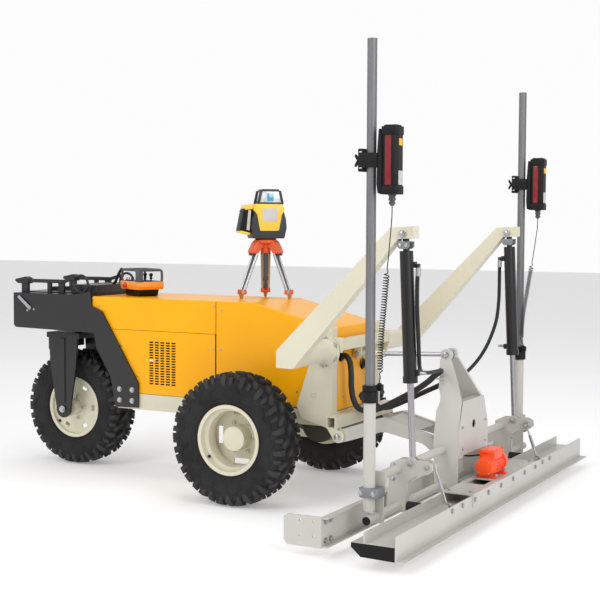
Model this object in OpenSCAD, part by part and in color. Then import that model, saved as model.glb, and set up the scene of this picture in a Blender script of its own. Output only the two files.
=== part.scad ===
// Ride-on laser screed: a three-wheel drive unit that carries a levelling head
// on two fixed lift arms. Millimetres, +X towards the head, +Z up, near side -Y.
// Stations along X are counted from the drive axle; place() then moves the
// machine so that the origin lies on the ground under the middle of its box.

/* [Layout] */
// Drive axle station, measured from the middle of the machine's length
axle_x = 210; // [200:1:220]
// Distance between the drive axle and the steered rear wheel
wheelbase = 1310; // [1290:1:1330]
// Distance from the centre plane to the middle of a drive wheel
track_half = 495; // [485:1:505]

/* [Wheels] */
// Outside diameter of the tyres
tyre_d = 635; // [625:1:645]
// Widest section of a tyre
tyre_w = 194; // [190:1:200]
// Diameter over the rim flanges
rim_d = 337; // [333:1:339]
// Width of a rim over its flanges
rim_w = 150; // [146:1:154]
// Diameter of the drive hub cap
hub_cap_d = 116; // [100:1:130]

/* [Bodywork] */
// Half width of the bonnet
hood_half = 246; // [240:1:247]
// Height of the flat bonnet top
hood_top = 948; // [940:1:952]
// Thickness of the bonnet sheet
skin = 3; // [2:0.5:3]
// Slots across the side grille
grille_cols = 5; // [3:1:5]
// Slots up the side grille
grille_rows = 17; // [9:1:17]

/* [Lift gear] */
// Distance from the centre plane to a lift arm's middle
arm_y = 665; // [655:1:675]
// Width of a lift arm
arm_w = 60; // [50:1:60]
// Outside diameter of a lift cylinder barrel
barrel_d = 58; // [54:1:60]
// Diameter of a lift cylinder rod
ram_d = 28; // [24:1:30]

/* [Head] */
// Length of the vibrating screed plate
screed_len = 2500; // [2400:10:2600]
// Length of the plough blade
plough_len = 2340; // [2300:10:2400]
// Outside diameter of the two long head pipes
pipe_d = 38; // [34:1:40]
// Outside diameter of the lower mast tube
mast_d = 50; // [48:1:52]
// Outside diameter of the sliding mast tube
slide_d = 40; // [38:1:40]
// Distance from the centre plane to a mast
mast_y = 947; // [940:1:955]

/* [Hidden] */

yellow = [1.0, 0.70, 0.02];
cream = [0.91, 0.89, 0.78];
pale = [0.80, 0.79, 0.75];
black = [0.17, 0.16, 0.17];
rubber = [0.08, 0.08, 0.09];
bright = [0.75, 0.75, 0.77];
grey = [0.45, 0.45, 0.46];

tyre_r = tyre_d / 2;
rear_x = -wheelbase;
// Running clearance between a shaft and its bore
run = 0.05;

// Rear of the bonnet, its cross seam, its crease and its front edge
hood_rear_x = -1046;
hood_seam_x = -272;
hood_crease_x = -54;
hood_front_x = 385;
hood_front_z = 841;
// Level of the seam between the rear cover and the side panels
side_seam_z = 782;
// Lower edge of the bonnet sides
skirt_z = 452;

// Chassis rails
rail_in = 190;
rail_out = 246;
rail_low = 367;
rail_high = 450;

// Weight box and its side plates
box_rear_x = -1572;
box_front_x = -1050;
box_half = 262;
box_low = 765;
box_high = 955;
box_wall = 8;
lid_half = 180;
// Pivot of the latch on the near face of the box
latch_at = [-1453, -box_half, 876];

// Pins of the lower and upper links on the machine and on the head
hitch_pin = [457, 300, 337];
head_pin = [860, 120, 312];
link_pin = [409, 0, 700];
apex_pin = [882, 0, 720];
hitch_pin_d = 24;
link_pin_d = 20;

// Lift cylinder: top pin, tilt of its axis and places along the axis
ram_top = [942, arm_y, 1292];
ram_tilt = 2.48;
ram_len = 970;
barrel_from = 70;
barrel_to = 630;
gland_len = 28;
piston_at = 520;
bore_d = 44;

// Long pipes of the head
pipe_x = 925;
upper_pipe_z = 296;
lower_pipe_z = 133;
upper_pipe_half = 905;
lower_pipe_half = 1000;
// Bracket plates that carry the screed plate and the rams
bracket_y = 640;

// Masts
mast_x = 912;
mast_low = 160;
collar_low = 612;
collar_high = 655;
mast_tops = [2075, 2040];
slide_bottom = 300;
near_receiver_z = 1590;
far_receiver_z = 1552;
receiver_x = mast_x + 92;

// Screed plate section
deck_z = 112;
plate_low = 55;
rear_flange_x = 1031;
front_flange_x = 1164;
lip_x = 1207;
flange_top = 156;
cover_half = 445;
cover_top = 163;
vib_x = 1100;
vib_z = 218;
tie_y = 620;

// Places of the loose items on the bonnet
remote_x = -862;
remote_y = -50;
remote_turn = -28.2;
estop_x = -20;
stick_x = [-10, 60];
stick_y = 24;
tripod_x = -192;
tripod_y = 115;
tripod_r = 140;
tripod_top = 1170;
// Turn of the transmitter on its tripod and the offset of its rotor
laser_turn = 43;
laser_shift = [11, 10];

eps = 0.01;

// Hose routes, held by the fittings at their ends and the clips on the A-frame
sleeve_a = [[392, -150, 700], [402, -150, 700], [412, -150, 699], [431, -150, 672], [438, -149, 610],
    [438, -146, 550], [446, -138, 490], [470, -125, 445], [515, -105, 436], [570, -88, 452],
    [650, -80, 495], [740, -86, 545], [810, -96, 592], [850, -104, 626], [886, -108, 654]];
sleeve_b = [[392, 90, 640], [402, 90, 640], [412, 90, 639], [431, 88, 612], [444, 78, 540], [456, 66, 478],
    [482, 52, 440], [530, 44, 432], [590, 38, 452], [670, 34, 490],
    [750, 30, 530], [812, 28, 560], [848, 28, 580]];
near_branch = [[894, -122, 655], [900, -150, 660], [912, -220, 664], [926, -320, 670],
    [942, -430, 680], [962, -530, 696], [985, -605, 726], [1000, -648, 776],
    [1003, -663, 850], [999, -665, 930], [996, -665, 1010], [996, -665, 1090],
    [999, -665, 1135], [1001, -665, 1168]];
far_branch = [[852, 66, 600], [846, 130, 585], [850, 250, 590], [858, 380, 625],
    [866, 500, 680], [874, 590, 750], [886, 645, 840], [892, 662, 940],
    [893, 665, 1040], [893, 665, 1168]];

// Cable of the vibrator, from its junction box to the clip on the upper pipe
motor_route = [[1067, -20, 258], [1058, -20, 258], [1046, -22, 257], [1028, -27, 254],
    [1008, -34, 251], [990, -42, 251], [974, -50, 255], [962, -56, 263], [955, -60, 275]];
motor_cable_d = 9;

// Receiver lead and curly lead: connector to the mast collar
lead_d = 7;
coil_d = 26;
near_lead = [[1004, -947, 1405], [1003, -946, 1360], [998, -944, 1310], [992, -942, 1250],
    [986, -939, 1200], [980, -936, 1160]];
near_coil = [[980, -936, 1160], [974, -932, 1110], [966, -926, 1050], [958, -920, 990],
    [950, -914, 930], [944, -910, 870], [940, -907, 810], [938, -905, 760], [938, -904, 708]];
near_tail = [[938, -904, 708], [940, -911, 702], [943, -919, 694], [943, -920, 685]];
far_lead = [[1004, 947, 1367], [1003, 946, 1320], [998, 944, 1280], [992, 942, 1230],
    [986, 939, 1180], [980, 936, 1140]];
far_coil = [[980, 936, 1140], [974, 932, 1090], [966, 926, 1030], [958, 920, 970],
    [950, 914, 910], [944, 910, 860], [940, 907, 810], [938, 905, 760], [938, 904, 708]];
far_tail = [[938, 904, 708], [940, 911, 702], [943, 919, 694], [943, 920, 685]];

// ---------- helpers ----------

// Moves a part from the drive axle's station to the frame of the whole machine
module place() translate([axle_x, 0, 0]) children();

// Mirrors a near-side part to the far side
module far_side() mirror([0, 1, 0]) children();

// Draws a part on both sides of the centre plane
module both_sides() {
    children();
    mirror([0, 1, 0]) children();
}

// Box from its low corner to its high corner
module block(low, high) translate(low) cube(high - low);

// Plate with an outline in X and Z, from y to y + t
module plate_xz(outline, y, t)
    translate([0, y + t, 0]) rotate([90, 0, 0]) linear_extrude(t) polygon(outline);

// Cylinder along Y centred at a point
module along_y(at, d, len, fn = 48)
    translate(at) rotate([90, 0, 0]) cylinder(d = d, h = len, center = true, $fn = fn);

// Cylinder along X starting at a point
module along_x(at, d, len, fn = 32)
    translate(at) rotate([0, 90, 0]) cylinder(d = d, h = len, $fn = fn);

// Upright cylinder starting at a point
module along_z(at, d, len, fn = 48) translate(at) cylinder(d = d, h = len, $fn = fn);

// Rod between two points
module rod_between(a, b, d, fn = 24) {
    v = b - a;
    translate(a)
        rotate([0, acos(v[2] / norm(v)), atan2(v[1], v[0])])
            cylinder(d = d, h = norm(v), $fn = fn);
}

// Hexagon bolt head on a face looking along -Y
module bolt_head_y(at, d) translate(at) rotate([90, 0, 0]) {
    cylinder(d = d * 2.1, h = 2, $fn = 24);
    translate([0, 0, 2]) cylinder(d = d * 1.8, h = d * 0.6, $fn = 6);
}

// Hexagon bolt head on a face looking along +X
module bolt_head_x(at, d) translate(at) rotate([0, 90, 0]) {
    cylinder(d = d * 2.1, h = 2, $fn = 24);
    translate([0, 0, 2]) cylinder(d = d * 1.8, h = d * 0.6, $fn = 6);
}

// Unit vector
function unit(v) = v / norm(v);
// Direction of a route at point i
function heading(p, i) = unit(p[min(i + 1, len(p) - 1)] - p[max(i - 1, 0)]);
// Side vector of a ring, level and square to the route
function side(t) = unit(cross(t, abs(t[2]) > 0.9 ? [0, 1, 0] : [0, 0, 1]));
// Tube of n sides swept along a route
module tube(route, d, n = 8) {
    last = len(route) - 1;
    rings = [for (i = [0 : last])
        let (t = heading(route, i), u = side(t), w = cross(t, u))
        for (k = [0 : n - 1])
            route[i] + d / 2 * (cos(360 * k / n) * u + sin(360 * k / n) * w)];
    skins = [for (i = [0 : last - 1]) for (k = [0 : n - 1])
        [i * n + k, i * n + (k + 1) % n, (i + 1) * n + (k + 1) % n, (i + 1) * n + k]];
    ends = [[for (k = [n - 1 : -1 : 0]) k], [for (k = [0 : n - 1]) last * n + k]];
    polyhedron(points = rings, faces = concat(skins, ends), convexity = 6);
}
// Points added half way between the points of a route, on a smooth curve
function smooth(p) = [for (i = [0 : 2 * (len(p) - 1)])
    i % 2 == 0 ? p[i / 2] :
    let (a = (i - 1) / 2, p0 = p[max(a - 1, 0)], p3 = p[min(a + 2, len(p) - 1)])
    (9 * (p[a] + p[a + 1]) - p0 - p3) / 16];

// ---------- chassis and hitch ----------

module chassis() place() color(cream) {
    both_sides() difference() {
        union() {
            difference() {
                block([-880, -rail_out, rail_low], [384, -rail_in, rail_high]);
                block([-881, -rail_out + 5, rail_low + 5], [385, -rail_in - 5, rail_high - 5]);
            }
            // Head plates that the black side plates are bolted to
            block([-900, -box_half + 12.2, rail_low + 8], [-742, -rail_in, rail_low + 13]);
            block([-900, -hood_half + 3.5, rail_high], [-742, -rail_in, rail_high + 50]);
            // Motor bracket
            block([-110, -rail_out, 214], [110, -rail_out + 12, rail_low]);
        }
        along_y([0, -rail_out, tyre_r], 121, 140, 64);
    }
    for (x = [-870, -460, -60, 320])
        block([x, -rail_in, rail_low], [x + 60, rail_in, rail_low + 60]);
    block([-870, -rail_in, rail_low + 60], [380, rail_in, rail_low + 66]);
}

// Outline of a tower side plate
tower = [[396, 845], [396, 358], [232, 400], [206, 459], [274, 663], [318, 845]];
flange_at = [352, 730];

module tower_near() place() color(cream) {
    difference() {
        union() {
            plate_xz(tower, -274, 24);
            // Front return of the tower
            block([384, -274, 436], [396, -216, 845]);
            // Foot that the rail is bolted to
            block([384.5, -250, 360], [396, -rail_in, 436]);
        }
        along_y([flange_at[0], -262, flange_at[1]], 70, 40);
    }
    for (a = [45 : 90 : 315])
        bolt_head_y([300 + 12 * cos(a), -274, 520 + 12 * sin(a)], 3);
}
module towers() both_sides() tower_near();

// Lower cross beam with the clevis ears of the drawbar
module hitch_beam() place() color(cream) {
    difference() {
        block([396.5, -330, 372], [446, 330, 430]);
        block([402, -331, 378], [440, 331, 424]);
    }
    both_sides() {
        difference() {
            union() for (y = [-328, -286.5]) {
                plate_xz([[400, 372], [446, 372], [486, 345], [480, 322], [434, 322]], y, 14);
                along_y([hitch_pin[0], y + 7, hitch_pin[2]], 58, 14);
            }
            along_y([hitch_pin[0], -hitch_pin[1], hitch_pin[2]], hitch_pin_d + 0.2, 80);
        }
        // Hinge pin with its head and nut
        along_y([hitch_pin[0], -hitch_pin[1], hitch_pin[2]], hitch_pin_d, 60);
        along_y([hitch_pin[0], -hitch_pin[1] - 33, hitch_pin[2]], 38, 6, 6);
        along_y([hitch_pin[0], -hitch_pin[1] + 33, hitch_pin[2]], 38, 6, 6);
    }
}

// Upper cross beam with the ears of the top link
module top_link_beam() place() color(cream) {
    difference() {
        block([396.5, -262, 738], [446, 262, 790]);
        block([402, -263, 744], [440, 263, 784]);
    }
    both_sides() {
        block([396.5, -270, 728], [450, -262, 800]);
        difference() {
            union() {
                plate_xz([[396.5, 738], [436, 738], [434, 690], [396.5, 676]], -32, 12);
                along_y([link_pin[0], -26, link_pin[2]], 44, 12);
            }
            along_y([link_pin[0], -26, link_pin[2]], link_pin_d + 0.2, 20);
        }
        along_y([link_pin[0], -35, link_pin[2]], 32, 6, 6);
    }
    along_y(link_pin, link_pin_d, 70);
}

// ---------- lift arms and cylinders ----------

arm_outer = [[330, 692], [414, 691], [769, 1094], [918, 1272], [991, 1275],
    [991, 1326], [884, 1321], [349, 789], [330, 769]];
arm_inner = [[337, 699], [411, 698], [764, 1100], [912, 1279], [984, 1282],
    [984, 1319], [887, 1314], [354, 786], [337, 766]];

module lift_arm() place() color(cream) {
    y0 = -arm_y - arm_w / 2;
    difference() {
        plate_xz(arm_outer, y0, arm_w);
        plate_xz(arm_inner, y0 + 7, arm_w - 14);
        // Slot for the cylinder eye and the bore of its pin
        block([908, -arm_y - 15, 1262], [972, -arm_y + 15, 1300]);
        along_y([ram_top[0], -arm_y, ram_top[2]], link_pin_d + 0.2, arm_w + 2);
    }
    // Cross tube, cone and bolted flange
    translate([flange_at[0] + 12, -arm_y + arm_w / 2, flange_at[1]]) rotate([-90, 0, 0]) {
        tube_len = arm_y - arm_w / 2 - 332;
        cylinder(d = 96, h = tube_len, $fn = 64);
        translate([0, 0, tube_len]) cylinder(d1 = 96, d2 = 128, h = 46, $fn = 64);
    }
    along_y([flange_at[0] + 12, -280, flange_at[1]], 150, 12, 64);
    for (a = [30 : 60 : 330])
        bolt_head_y([flange_at[0] + 12 + 66 * cos(a), -286, flange_at[1] + 66 * sin(a)], 6);
    // Cylinder pin
    along_y([ram_top[0], -arm_y, ram_top[2]], link_pin_d, arm_w + 4);
    for (s = [-1, 1])
        along_y([ram_top[0], -arm_y + s * (arm_w / 2 + 5), ram_top[2]], 30, 6);
}
module near_lift_arm() lift_arm();
module far_lift_arm() far_side() lift_arm();

// Frame of a lift cylinder: origin at the top pin, -Z down the axis
module ram_frame() translate([ram_top[0], -ram_top[1], ram_top[2]])
    rotate([0, -ram_tilt, 0]) children();

// port_side is 1 for ports that face the head and -1 for ports that face the bonnet
module barrel(port_side) place() ram_frame() color(black) {
    difference() {
        union() {
            along_z([0, 0, -barrel_to], barrel_d, barrel_to - barrel_from, 64);
            along_z([0, 0, -barrel_to], barrel_d + 6, gland_len, 64);
            along_z([0, 0, -barrel_from], 28, barrel_from - 16, 40);
            along_y([0, 0, 0], 40, 22);
            // Port blocks
            for (z = [-130, -barrel_to + 44])
                translate([port_side * (barrel_d / 2 + 3), 0, z]) cube([22, 26, 26], center = true);
        }
        along_z([0, 0, -barrel_to + gland_len], bore_d, barrel_to - barrel_from - gland_len - 20, 64);
        along_z([0, 0, -barrel_to - 1], ram_d + 2 * run, gland_len + 2, 64);
        along_y([0, 0, 0], link_pin_d + 0.2, 30);
    }
}
module near_barrel() barrel(1);
module far_barrel() far_side() barrel(-1);

// Lift cylinder rod with its piston and lower eye
module ram() place() ram_frame() color(bright) {
    along_z([0, 0, -ram_len + 14], ram_d, ram_len - piston_at, 64);
    along_z([0, 0, -piston_at], bore_d - 0.4, 24, 64);
    difference() {
        along_y([0, 0, -ram_len], 44, 24);
        along_y([0, 0, -ram_len], link_pin_d + 0.2, 30);
    }
}
module near_ram() ram();
module far_ram() far_side() ram();

// ---------- bodywork ----------

module rear_hood() place() color(yellow) {
    difference() {
        block([hood_rear_x, -hood_half, side_seam_z], [hood_seam_x - 1, hood_half, hood_top]);
        block([hood_rear_x + skin, -hood_half + skin, side_seam_z - 1],
            [hood_seam_x + 1, hood_half - skin, hood_top - skin]);
    }
    for (s = [-1, 1]) for (p = [[-1030, 925], [-292, 922]])
        translate([p[0], s * hood_half, p[1]]) rotate([90 * -s, 0, 0])
            cylinder(d = 12, h = 3, $fn = 20);
}

// Side panels with a block of slots each
module side_panel_outline() {
    slot_w = 25;
    slot_h = 7.6;
    pitch_x = 34.4;
    pitch_z = 13.4;
    difference() {
        polygon([[-990, side_seam_z - 2], [hood_seam_x - 3, side_seam_z - 2],
            [hood_seam_x - 3, skirt_z], [-772, skirt_z]]);
        for (i = [0 : grille_cols - 1]) for (j = [0 : grille_rows - 1])
            translate([-677 + i * pitch_x, 504 + j * pitch_z]) square([slot_w, slot_h]);
    }
}
module side_panels() place() color(yellow)
    both_sides()
        translate([0, -hood_half + skin, 0]) rotate([90, 0, 0])
            linear_extrude(skin) side_panel_outline();

hood_side = [[hood_seam_x, hood_top], [hood_crease_x, hood_top],
    [hood_front_x - 2, hood_front_z], [hood_front_x - 2, 438], [hood_seam_x, skirt_z]];
hood_core = [[hood_seam_x - 1, hood_top - skin], [hood_crease_x - 1, hood_top - skin],
    [hood_front_x - 2 - skin, hood_front_z - skin], [hood_front_x - 2 - skin, 430],
    [hood_seam_x - 1, 440]];

module front_hood() place() color(yellow) {
    // Bulkhead fittings of the hoses
    for (p = [sleeve_a[0], sleeve_b[0]])
        along_x([hood_front_x - 3, p[1], p[2]], 46, 9.5, 32);
    difference() {
        plate_xz(hood_side, -hood_half, 2 * hood_half);
        plate_xz(hood_core, -hood_half + skin, 2 * (hood_half - skin));
        // Wheel-side notch over the rails
        both_sides() block([-200, -hood_half - 1, 430], [383.5, -rail_in + 2, 451]);
        block([-200, -rail_in + 1, 430], [372, rail_in - 1, 451]);
        block([370, -216, 430], [390, 216, 436.5]);
    }
}

// Outline of a black side plate, bolted to the rail and carrying the weight box
side_plate = [[box_front_x, 975], [-1040, 900], [-971, 872], [-738, 506], [-738, 378],
    [-884, 374], [-914, 531], [-1005, 675], [-1023, 756], [box_rear_x + 14, box_low],
    [box_rear_x, box_low + 14], [box_rear_x, box_high], [-1150, box_high]];

module weight_box() place() color(black) {
    both_sides() {
        plate_xz(side_plate, -box_half, 12);
        for (p = [[-855, 469], [-775, 469], [-855, 412], [-775, 412]])
            bolt_head_y([p[0], -box_half, p[1]], 10);
    }
    inner = box_half - 12;
    // Floor with the bore of the steering column
    difference() {
        block([box_rear_x, -inner, box_low], [box_front_x, inner, box_low + 12]);
        along_z([rear_x, 0, box_low - 1], 76 + 2 * run, 20, 64);
    }
    block([box_rear_x, -inner, box_low + 12], [box_rear_x + box_wall, inner, box_high]);
    block([box_front_x - box_wall, -inner, box_low + 12], [box_front_x, inner, box_high]);
    // Fixed front deck of the box and the strips beside the lid
    block([-1250, -inner, box_high - 6], [box_front_x - box_wall, inner, box_high]);
    both_sides() block([box_rear_x, -inner, box_high - 6], [-1240, -lid_half - 5, box_high]);
}

// Cast blocks on both sides of the steering column
module counterweight() place() color(grey)
    for (x = [[box_rear_x + 10, -1372], [-1248, -1062]])
        difference() {
            block([x[0], -248, box_low + 12.5], [x[1], 248, 944]);
            for (y = [-180, 180]) translate([(x[0] + x[1]) / 2, y, 930])
                cylinder(d = 30, h = 20, $fn = 32);
        }

// Grab rails and the console behind the bonnet
module handle_frame() place() color(black) {
    for (s = [-1, 1]) {
        y = s * 205;
        // Posts, bar and wedge grip
        block([-1556, y - 9, box_high], [-1510, y + 9, 1010]);
        block([-1376, y - 8, box_high], [-1352, y + 8, 1010]);
        block([-1300, y - 8, box_high], [-1262, y + 8, 1012]);
        block([-1500, y - 10, 1010], [-1262, y + 10, 1030]);
        plate_xz([[-1594, 1018], [-1572, 1004], [-1500, 1004], [-1500, 1034], [-1520, 1042],
            [-1590, 1028]], y - 20, 40);
        plate_xz([[-1262, 1012], [-1180, 1034], [-1180, 1052], [-1262, 1030]], y - 8, 16);
        // Tie-down hoop
        translate([-1150, y, box_high + 54]) rotate([90, 0, 0])
            rotate_extrude($fn = 40) translate([46, 0]) circle(d = 14, $fn = 16);
    }
    block([-1238, -180, box_high], [-1062, 180, 1004]);
}

module box_lid() place() color(black) {
    block([box_rear_x - 6, -lid_half, box_high + 1], [-1252, lid_half, box_high + 5]);
    block([-1480, -60, box_high + 5], [-1472, 60, box_high + 26]);
    block([-1440, -60, box_high + 5], [-1432, 60, box_high + 26]);
}

// Over-centre latch lever on the near side of the box
module box_latch() place() color(bright) translate(latch_at) {
    along_y([0, -5, 0], 22, 9);
    difference() {
        plate_xz([[-6, -6], [8, 6], [-70, 66], [-82, 56]], -12, 5);
        along_y([0, -8, 0], 10, 20);
    }
    along_y([0, -6, 0], 12, 11.5);
}

// ---------- inside the bonnet ----------

module engine() place() color(grey) {
    // Crankcase, cylinder head, air filter, silencer and flywheel housing
    block([-800, -110, 433.5], [-470, 150, 600]);
    block([-760, -70, 600], [-520, 120, 712]);
    along_x([-760, 150, 745], 90, 220, 40);
    along_x([-700, -60, 750], 66, 180, 40);
    along_y([-596, -130, 615], 170, 40, 48);
    difference() {
        along_y([-596, -150, 615], 60, 20, 40);
        along_y([-596, -150, 615], 24 + 2 * run, 40, 40);
    }
    along_y([-596, -186, 615], 24, 70, 40);
    // Hydraulic pump on the far end of the crankshaft
    along_x([-470, 20, 520], 110, 40, 40);
    block([-430, -30, 465], [-340, 70, 575]);
}

module cooling_fan() place() color(black) translate([-596, -206, 615]) rotate([90, 0, 0]) {
    difference() {
        union() {
            cylinder(d = 60, h = 16, center = true, $fn = 40);
            for (a = [0 : 60 : 300]) rotate([0, 0, a])
                translate([28, -3, 0]) rotate([30, 0, 0]) translate([0, 0, -2])
                    cube([68, 22, 3]);
        }
        cylinder(d = 24 + 2 * run, h = 40, center = true, $fn = 40);
    }
}

// Hydraulic tank with its round sump, fuel tank and battery
module tanks() place() color([0.33, 0.33, 0.28]) {
    block([-180, -160, 433.5], [200, 160, 700]);
    translate([278, 0, 366]) rotate([90, 0, 0])
        difference() {
            cylinder(r = 92, h = 370, center = true, $fn = 64);
            translate([-100, 0, -200]) cube([200, 100, 400]);
        }
    along_z([60, 90, 700], 60, 20, 32);
    block([-1020, -190, 600], [-840, 190, 770]);
    along_z([-930, 120, 770], 50, 20, 32);
    block([-400, -150, 600], [-210, 20, 780]);
    for (x = [-380, -240]) along_z([x, -100, 780], 18, 16, 20);
}

// Hydraulic wheel motors, bolted to the chassis brackets
module drive_motors() place() color(grey) both_sides() {
    along_y([0, -246, tyre_r], 120, 90, 64);
    along_y([0, -262, tyre_r], 170, 31, 64);
    along_y([0, -345, tyre_r], 90, 140, 64);
    along_y([0, -430, tyre_r], 40, 50, 64);
    for (a = [30 : 60 : 330])
        bolt_head_y([76 * cos(a), -277.5, tyre_r + 76 * sin(a)], 7);
}

// Hose set from the bonnet front to the A-frame and on to the lift cylinders
module hoses() place() color(rubber) {
    tube(smooth(sleeve_a), 30, 10);
    tube(smooth(sleeve_b), 26, 10);
    tube(smooth(near_branch), 18, 8);
    tube(smooth(far_branch), 18, 8);
}

// ---------- wheels ----------

function flip(p) = [for (i = [len(p) - 1 : -1 : 0]) [p[i][0], -p[i][1]]];

// Tyre section, radius and distance from the wheel's centre plane
module tyre() color(rubber) {
    w = tyre_w / 2;
    bead = rim_d / 2 - 12;
    outer = [[bead, 42], [bead, 68], [bead + 14, 69.5], [bead + 30, w - 9], [230, w],
        [272, w], [300, w - 8], [tyre_r, w - 28]];
    inner = [[bead + 16, 48], [bead + 34, w - 22], [232, w - 13], [272, w - 13], [292, w - 30]];
    rotate([90, 0, 0]) rotate_extrude($fn = 96)
        polygon(concat(outer, flip(outer), [[bead + 16, -48]],
            [for (i = [1 : 4]) [inner[i][0], -inner[i][1]]],
            [for (i = [4 : -1 : 0]) inner[i]]));
}

// Rim barrel, disc with windows and hub; disc_at is along the wheel's outward side
// window is the count, depth and width of the windows in the disc
module rim(disc_at, hub_r, hub_from, hub_to, bore_r, window) color(cream) {
    r = rim_d / 2;
    w = rim_w / 2;
    rotate([90, 0, 0]) {
        rotate_extrude($fn = 96)
            polygon([[r, w], [r, w - 4], [r - 14, w - 6], [r - 16, 44], [r - 30, 34],
                [r - 30, -34], [r - 16, -44], [r - 14, -w + 6], [r, -w + 4], [r, -w],
                [r - 18, -w], [r - 20, -42], [r - 34, -31], [r - 34, 31],
                [r - 20, 42], [r - 18, w]]);
        difference() {
            translate([0, 0, disc_at]) cylinder(r = r - 17, h = 8, $fn = 96);
            translate([0, 0, disc_at - 1]) {
                cylinder(r = bore_r, h = 10, $fn = 64);
                for (a = [0 : 360 / window[0] : 359]) rotate([0, 0, a])
                    translate([r - 50, 0, 5]) cube([window[1], window[2], 10], center = true);
            }
        }
        difference() {
            translate([0, 0, hub_from]) cylinder(r = hub_r, h = hub_to - hub_from, $fn = 64);
            translate([0, 0, hub_from - 1]) cylinder(r = bore_r, h = hub_to - hub_from + 2, $fn = 64);
        }
    }
}

module drive_rim() {
    rim(-60, hub_cap_d / 2, -60, 14, 20 + run, [4, 27, 84]);
    color(cream) rotate([90, 0, 0]) {
        translate([0, 0, 14]) cylinder(d = hub_cap_d, h = 10, $fn = 64);
        for (a = [0 : 60 : 300]) rotate([0, 0, a])
            translate([78, 0, -53]) cylinder(d = 20, h = 13, $fn = 6);
    }
}
module at_near_wheel() place() translate([0, -track_half, tyre_r]) children();
module near_tyre() at_near_wheel() tyre();
module near_rim() at_near_wheel() drive_rim();
module far_tyre() far_side() at_near_wheel() tyre();
module far_rim() far_side() at_near_wheel() drive_rim();

module rear_tyre() place() translate([rear_x, 0, tyre_r]) tyre();
module rear_rim() place() translate([rear_x, 0, tyre_r]) {
    rim(48, 44, -118, 118, 15 + run, [6, 20, 32]);
    color(bright) rotate([90, 0, 0]) for (a = [0 : 72 : 288]) rotate([0, 0, a])
        translate([64, 0, 55]) cylinder(d = 22, h = 15, $fn = 6);
}

// Steering fork with its column and axle
module rear_fork() place() color(black) translate([rear_x, 0, 0]) {
    along_z([0, 0, 738], 76, 130, 64);
    along_z([0, 0, box_low + 12.5], 104, 12, 64);
    block([-113, -165, 708], [113, 165, 738]);
    both_sides() {
        plate_xz([[-98, 709], [98, 709], [88, 560], [48, 330], [-48, 330], [-88, 560]], -165, 15);
        along_y([0, -157.5, tyre_r], 96, 15);
        block([-15, -172, 350], [15, -165, 708]);
        block([-112, -150, 640], [-100, -40, 708]);
        along_y([0, -169, tyre_r], 40, 8, 6);
    }
    along_y([0, 0, tyre_r], 30, 340, 64);
}

// ---------- levelling head ----------

// Pipe with a bore along Y
module pipe_y(x, z, d, half) difference() {
    along_y([x, 0, z], d, 2 * half, 48);
    along_y([x, 0, z], d - 8, 2 * half + 2, 48);
}

// Pipes, end plates, ram brackets and the ears of the drawbar
module pipe_frame() place() color(pale) {
    rear_ear = [[835, 330], [850, 342], [pipe_x, 322], [pipe_x, 284], [850, 282], [835, 292]];
    pipe_y(pipe_x, upper_pipe_z, pipe_d, upper_pipe_half);
    pipe_y(pipe_x, lower_pipe_z, pipe_d, lower_pipe_half);
    both_sides() {
        // End plate that the mast foot is bolted to
        plate_xz([[898, 112], [956, 104], [956, 230], [966, 262], [966, 318], [900, 324]], -905, 10);
        // Ram bracket and its forward rocker with the ram clevis
        for (y = [-arm_y - 26, -arm_y + 14]) {
            difference() {
                union() {
                    plate_xz([[872, 110], [960, 110], [962, 236], [1010, 270], [1066, 282],
                        [1084, 300], [1080, 326], [1058, 338], [930, 338], [890, 318]], y, 12);
                    along_y([984, y + 6, 323], 50, 12);
                }
                along_y([984, y + 6, 323], link_pin_d + 0.2, 20);
            }
        }
        along_y([984, -arm_y, 323], link_pin_d, 58);
        along_y([984, -arm_y - 30, 323], 30, 6, 6);
        // Knuckle pin of the tie rod and cross plates
        rod_between([1064, -arm_y - 26, 310], [1064, -tie_y + 14, 310], 14);
        block([878, -arm_y - 14, 150], [890, -arm_y + 14, 280]);
        block([948, -arm_y - 14, 112], [960, -arm_y + 14, 236]);
        // Ears of the drawbar pin
        difference() {
            for (y = [-152, -100]) plate_xz(rear_ear, y, 12);
            along_y([head_pin[0], -head_pin[1], head_pin[2]], hitch_pin_d + 0.2, 80);
        }
        along_y([head_pin[0], -head_pin[1], head_pin[2]], hitch_pin_d, 72);
        // Plough arms
        block([811, -580, 96], [pipe_x, -560, 128]);
        block([811, -582, 62], [824, -558, 156]);
    }
}

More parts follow.
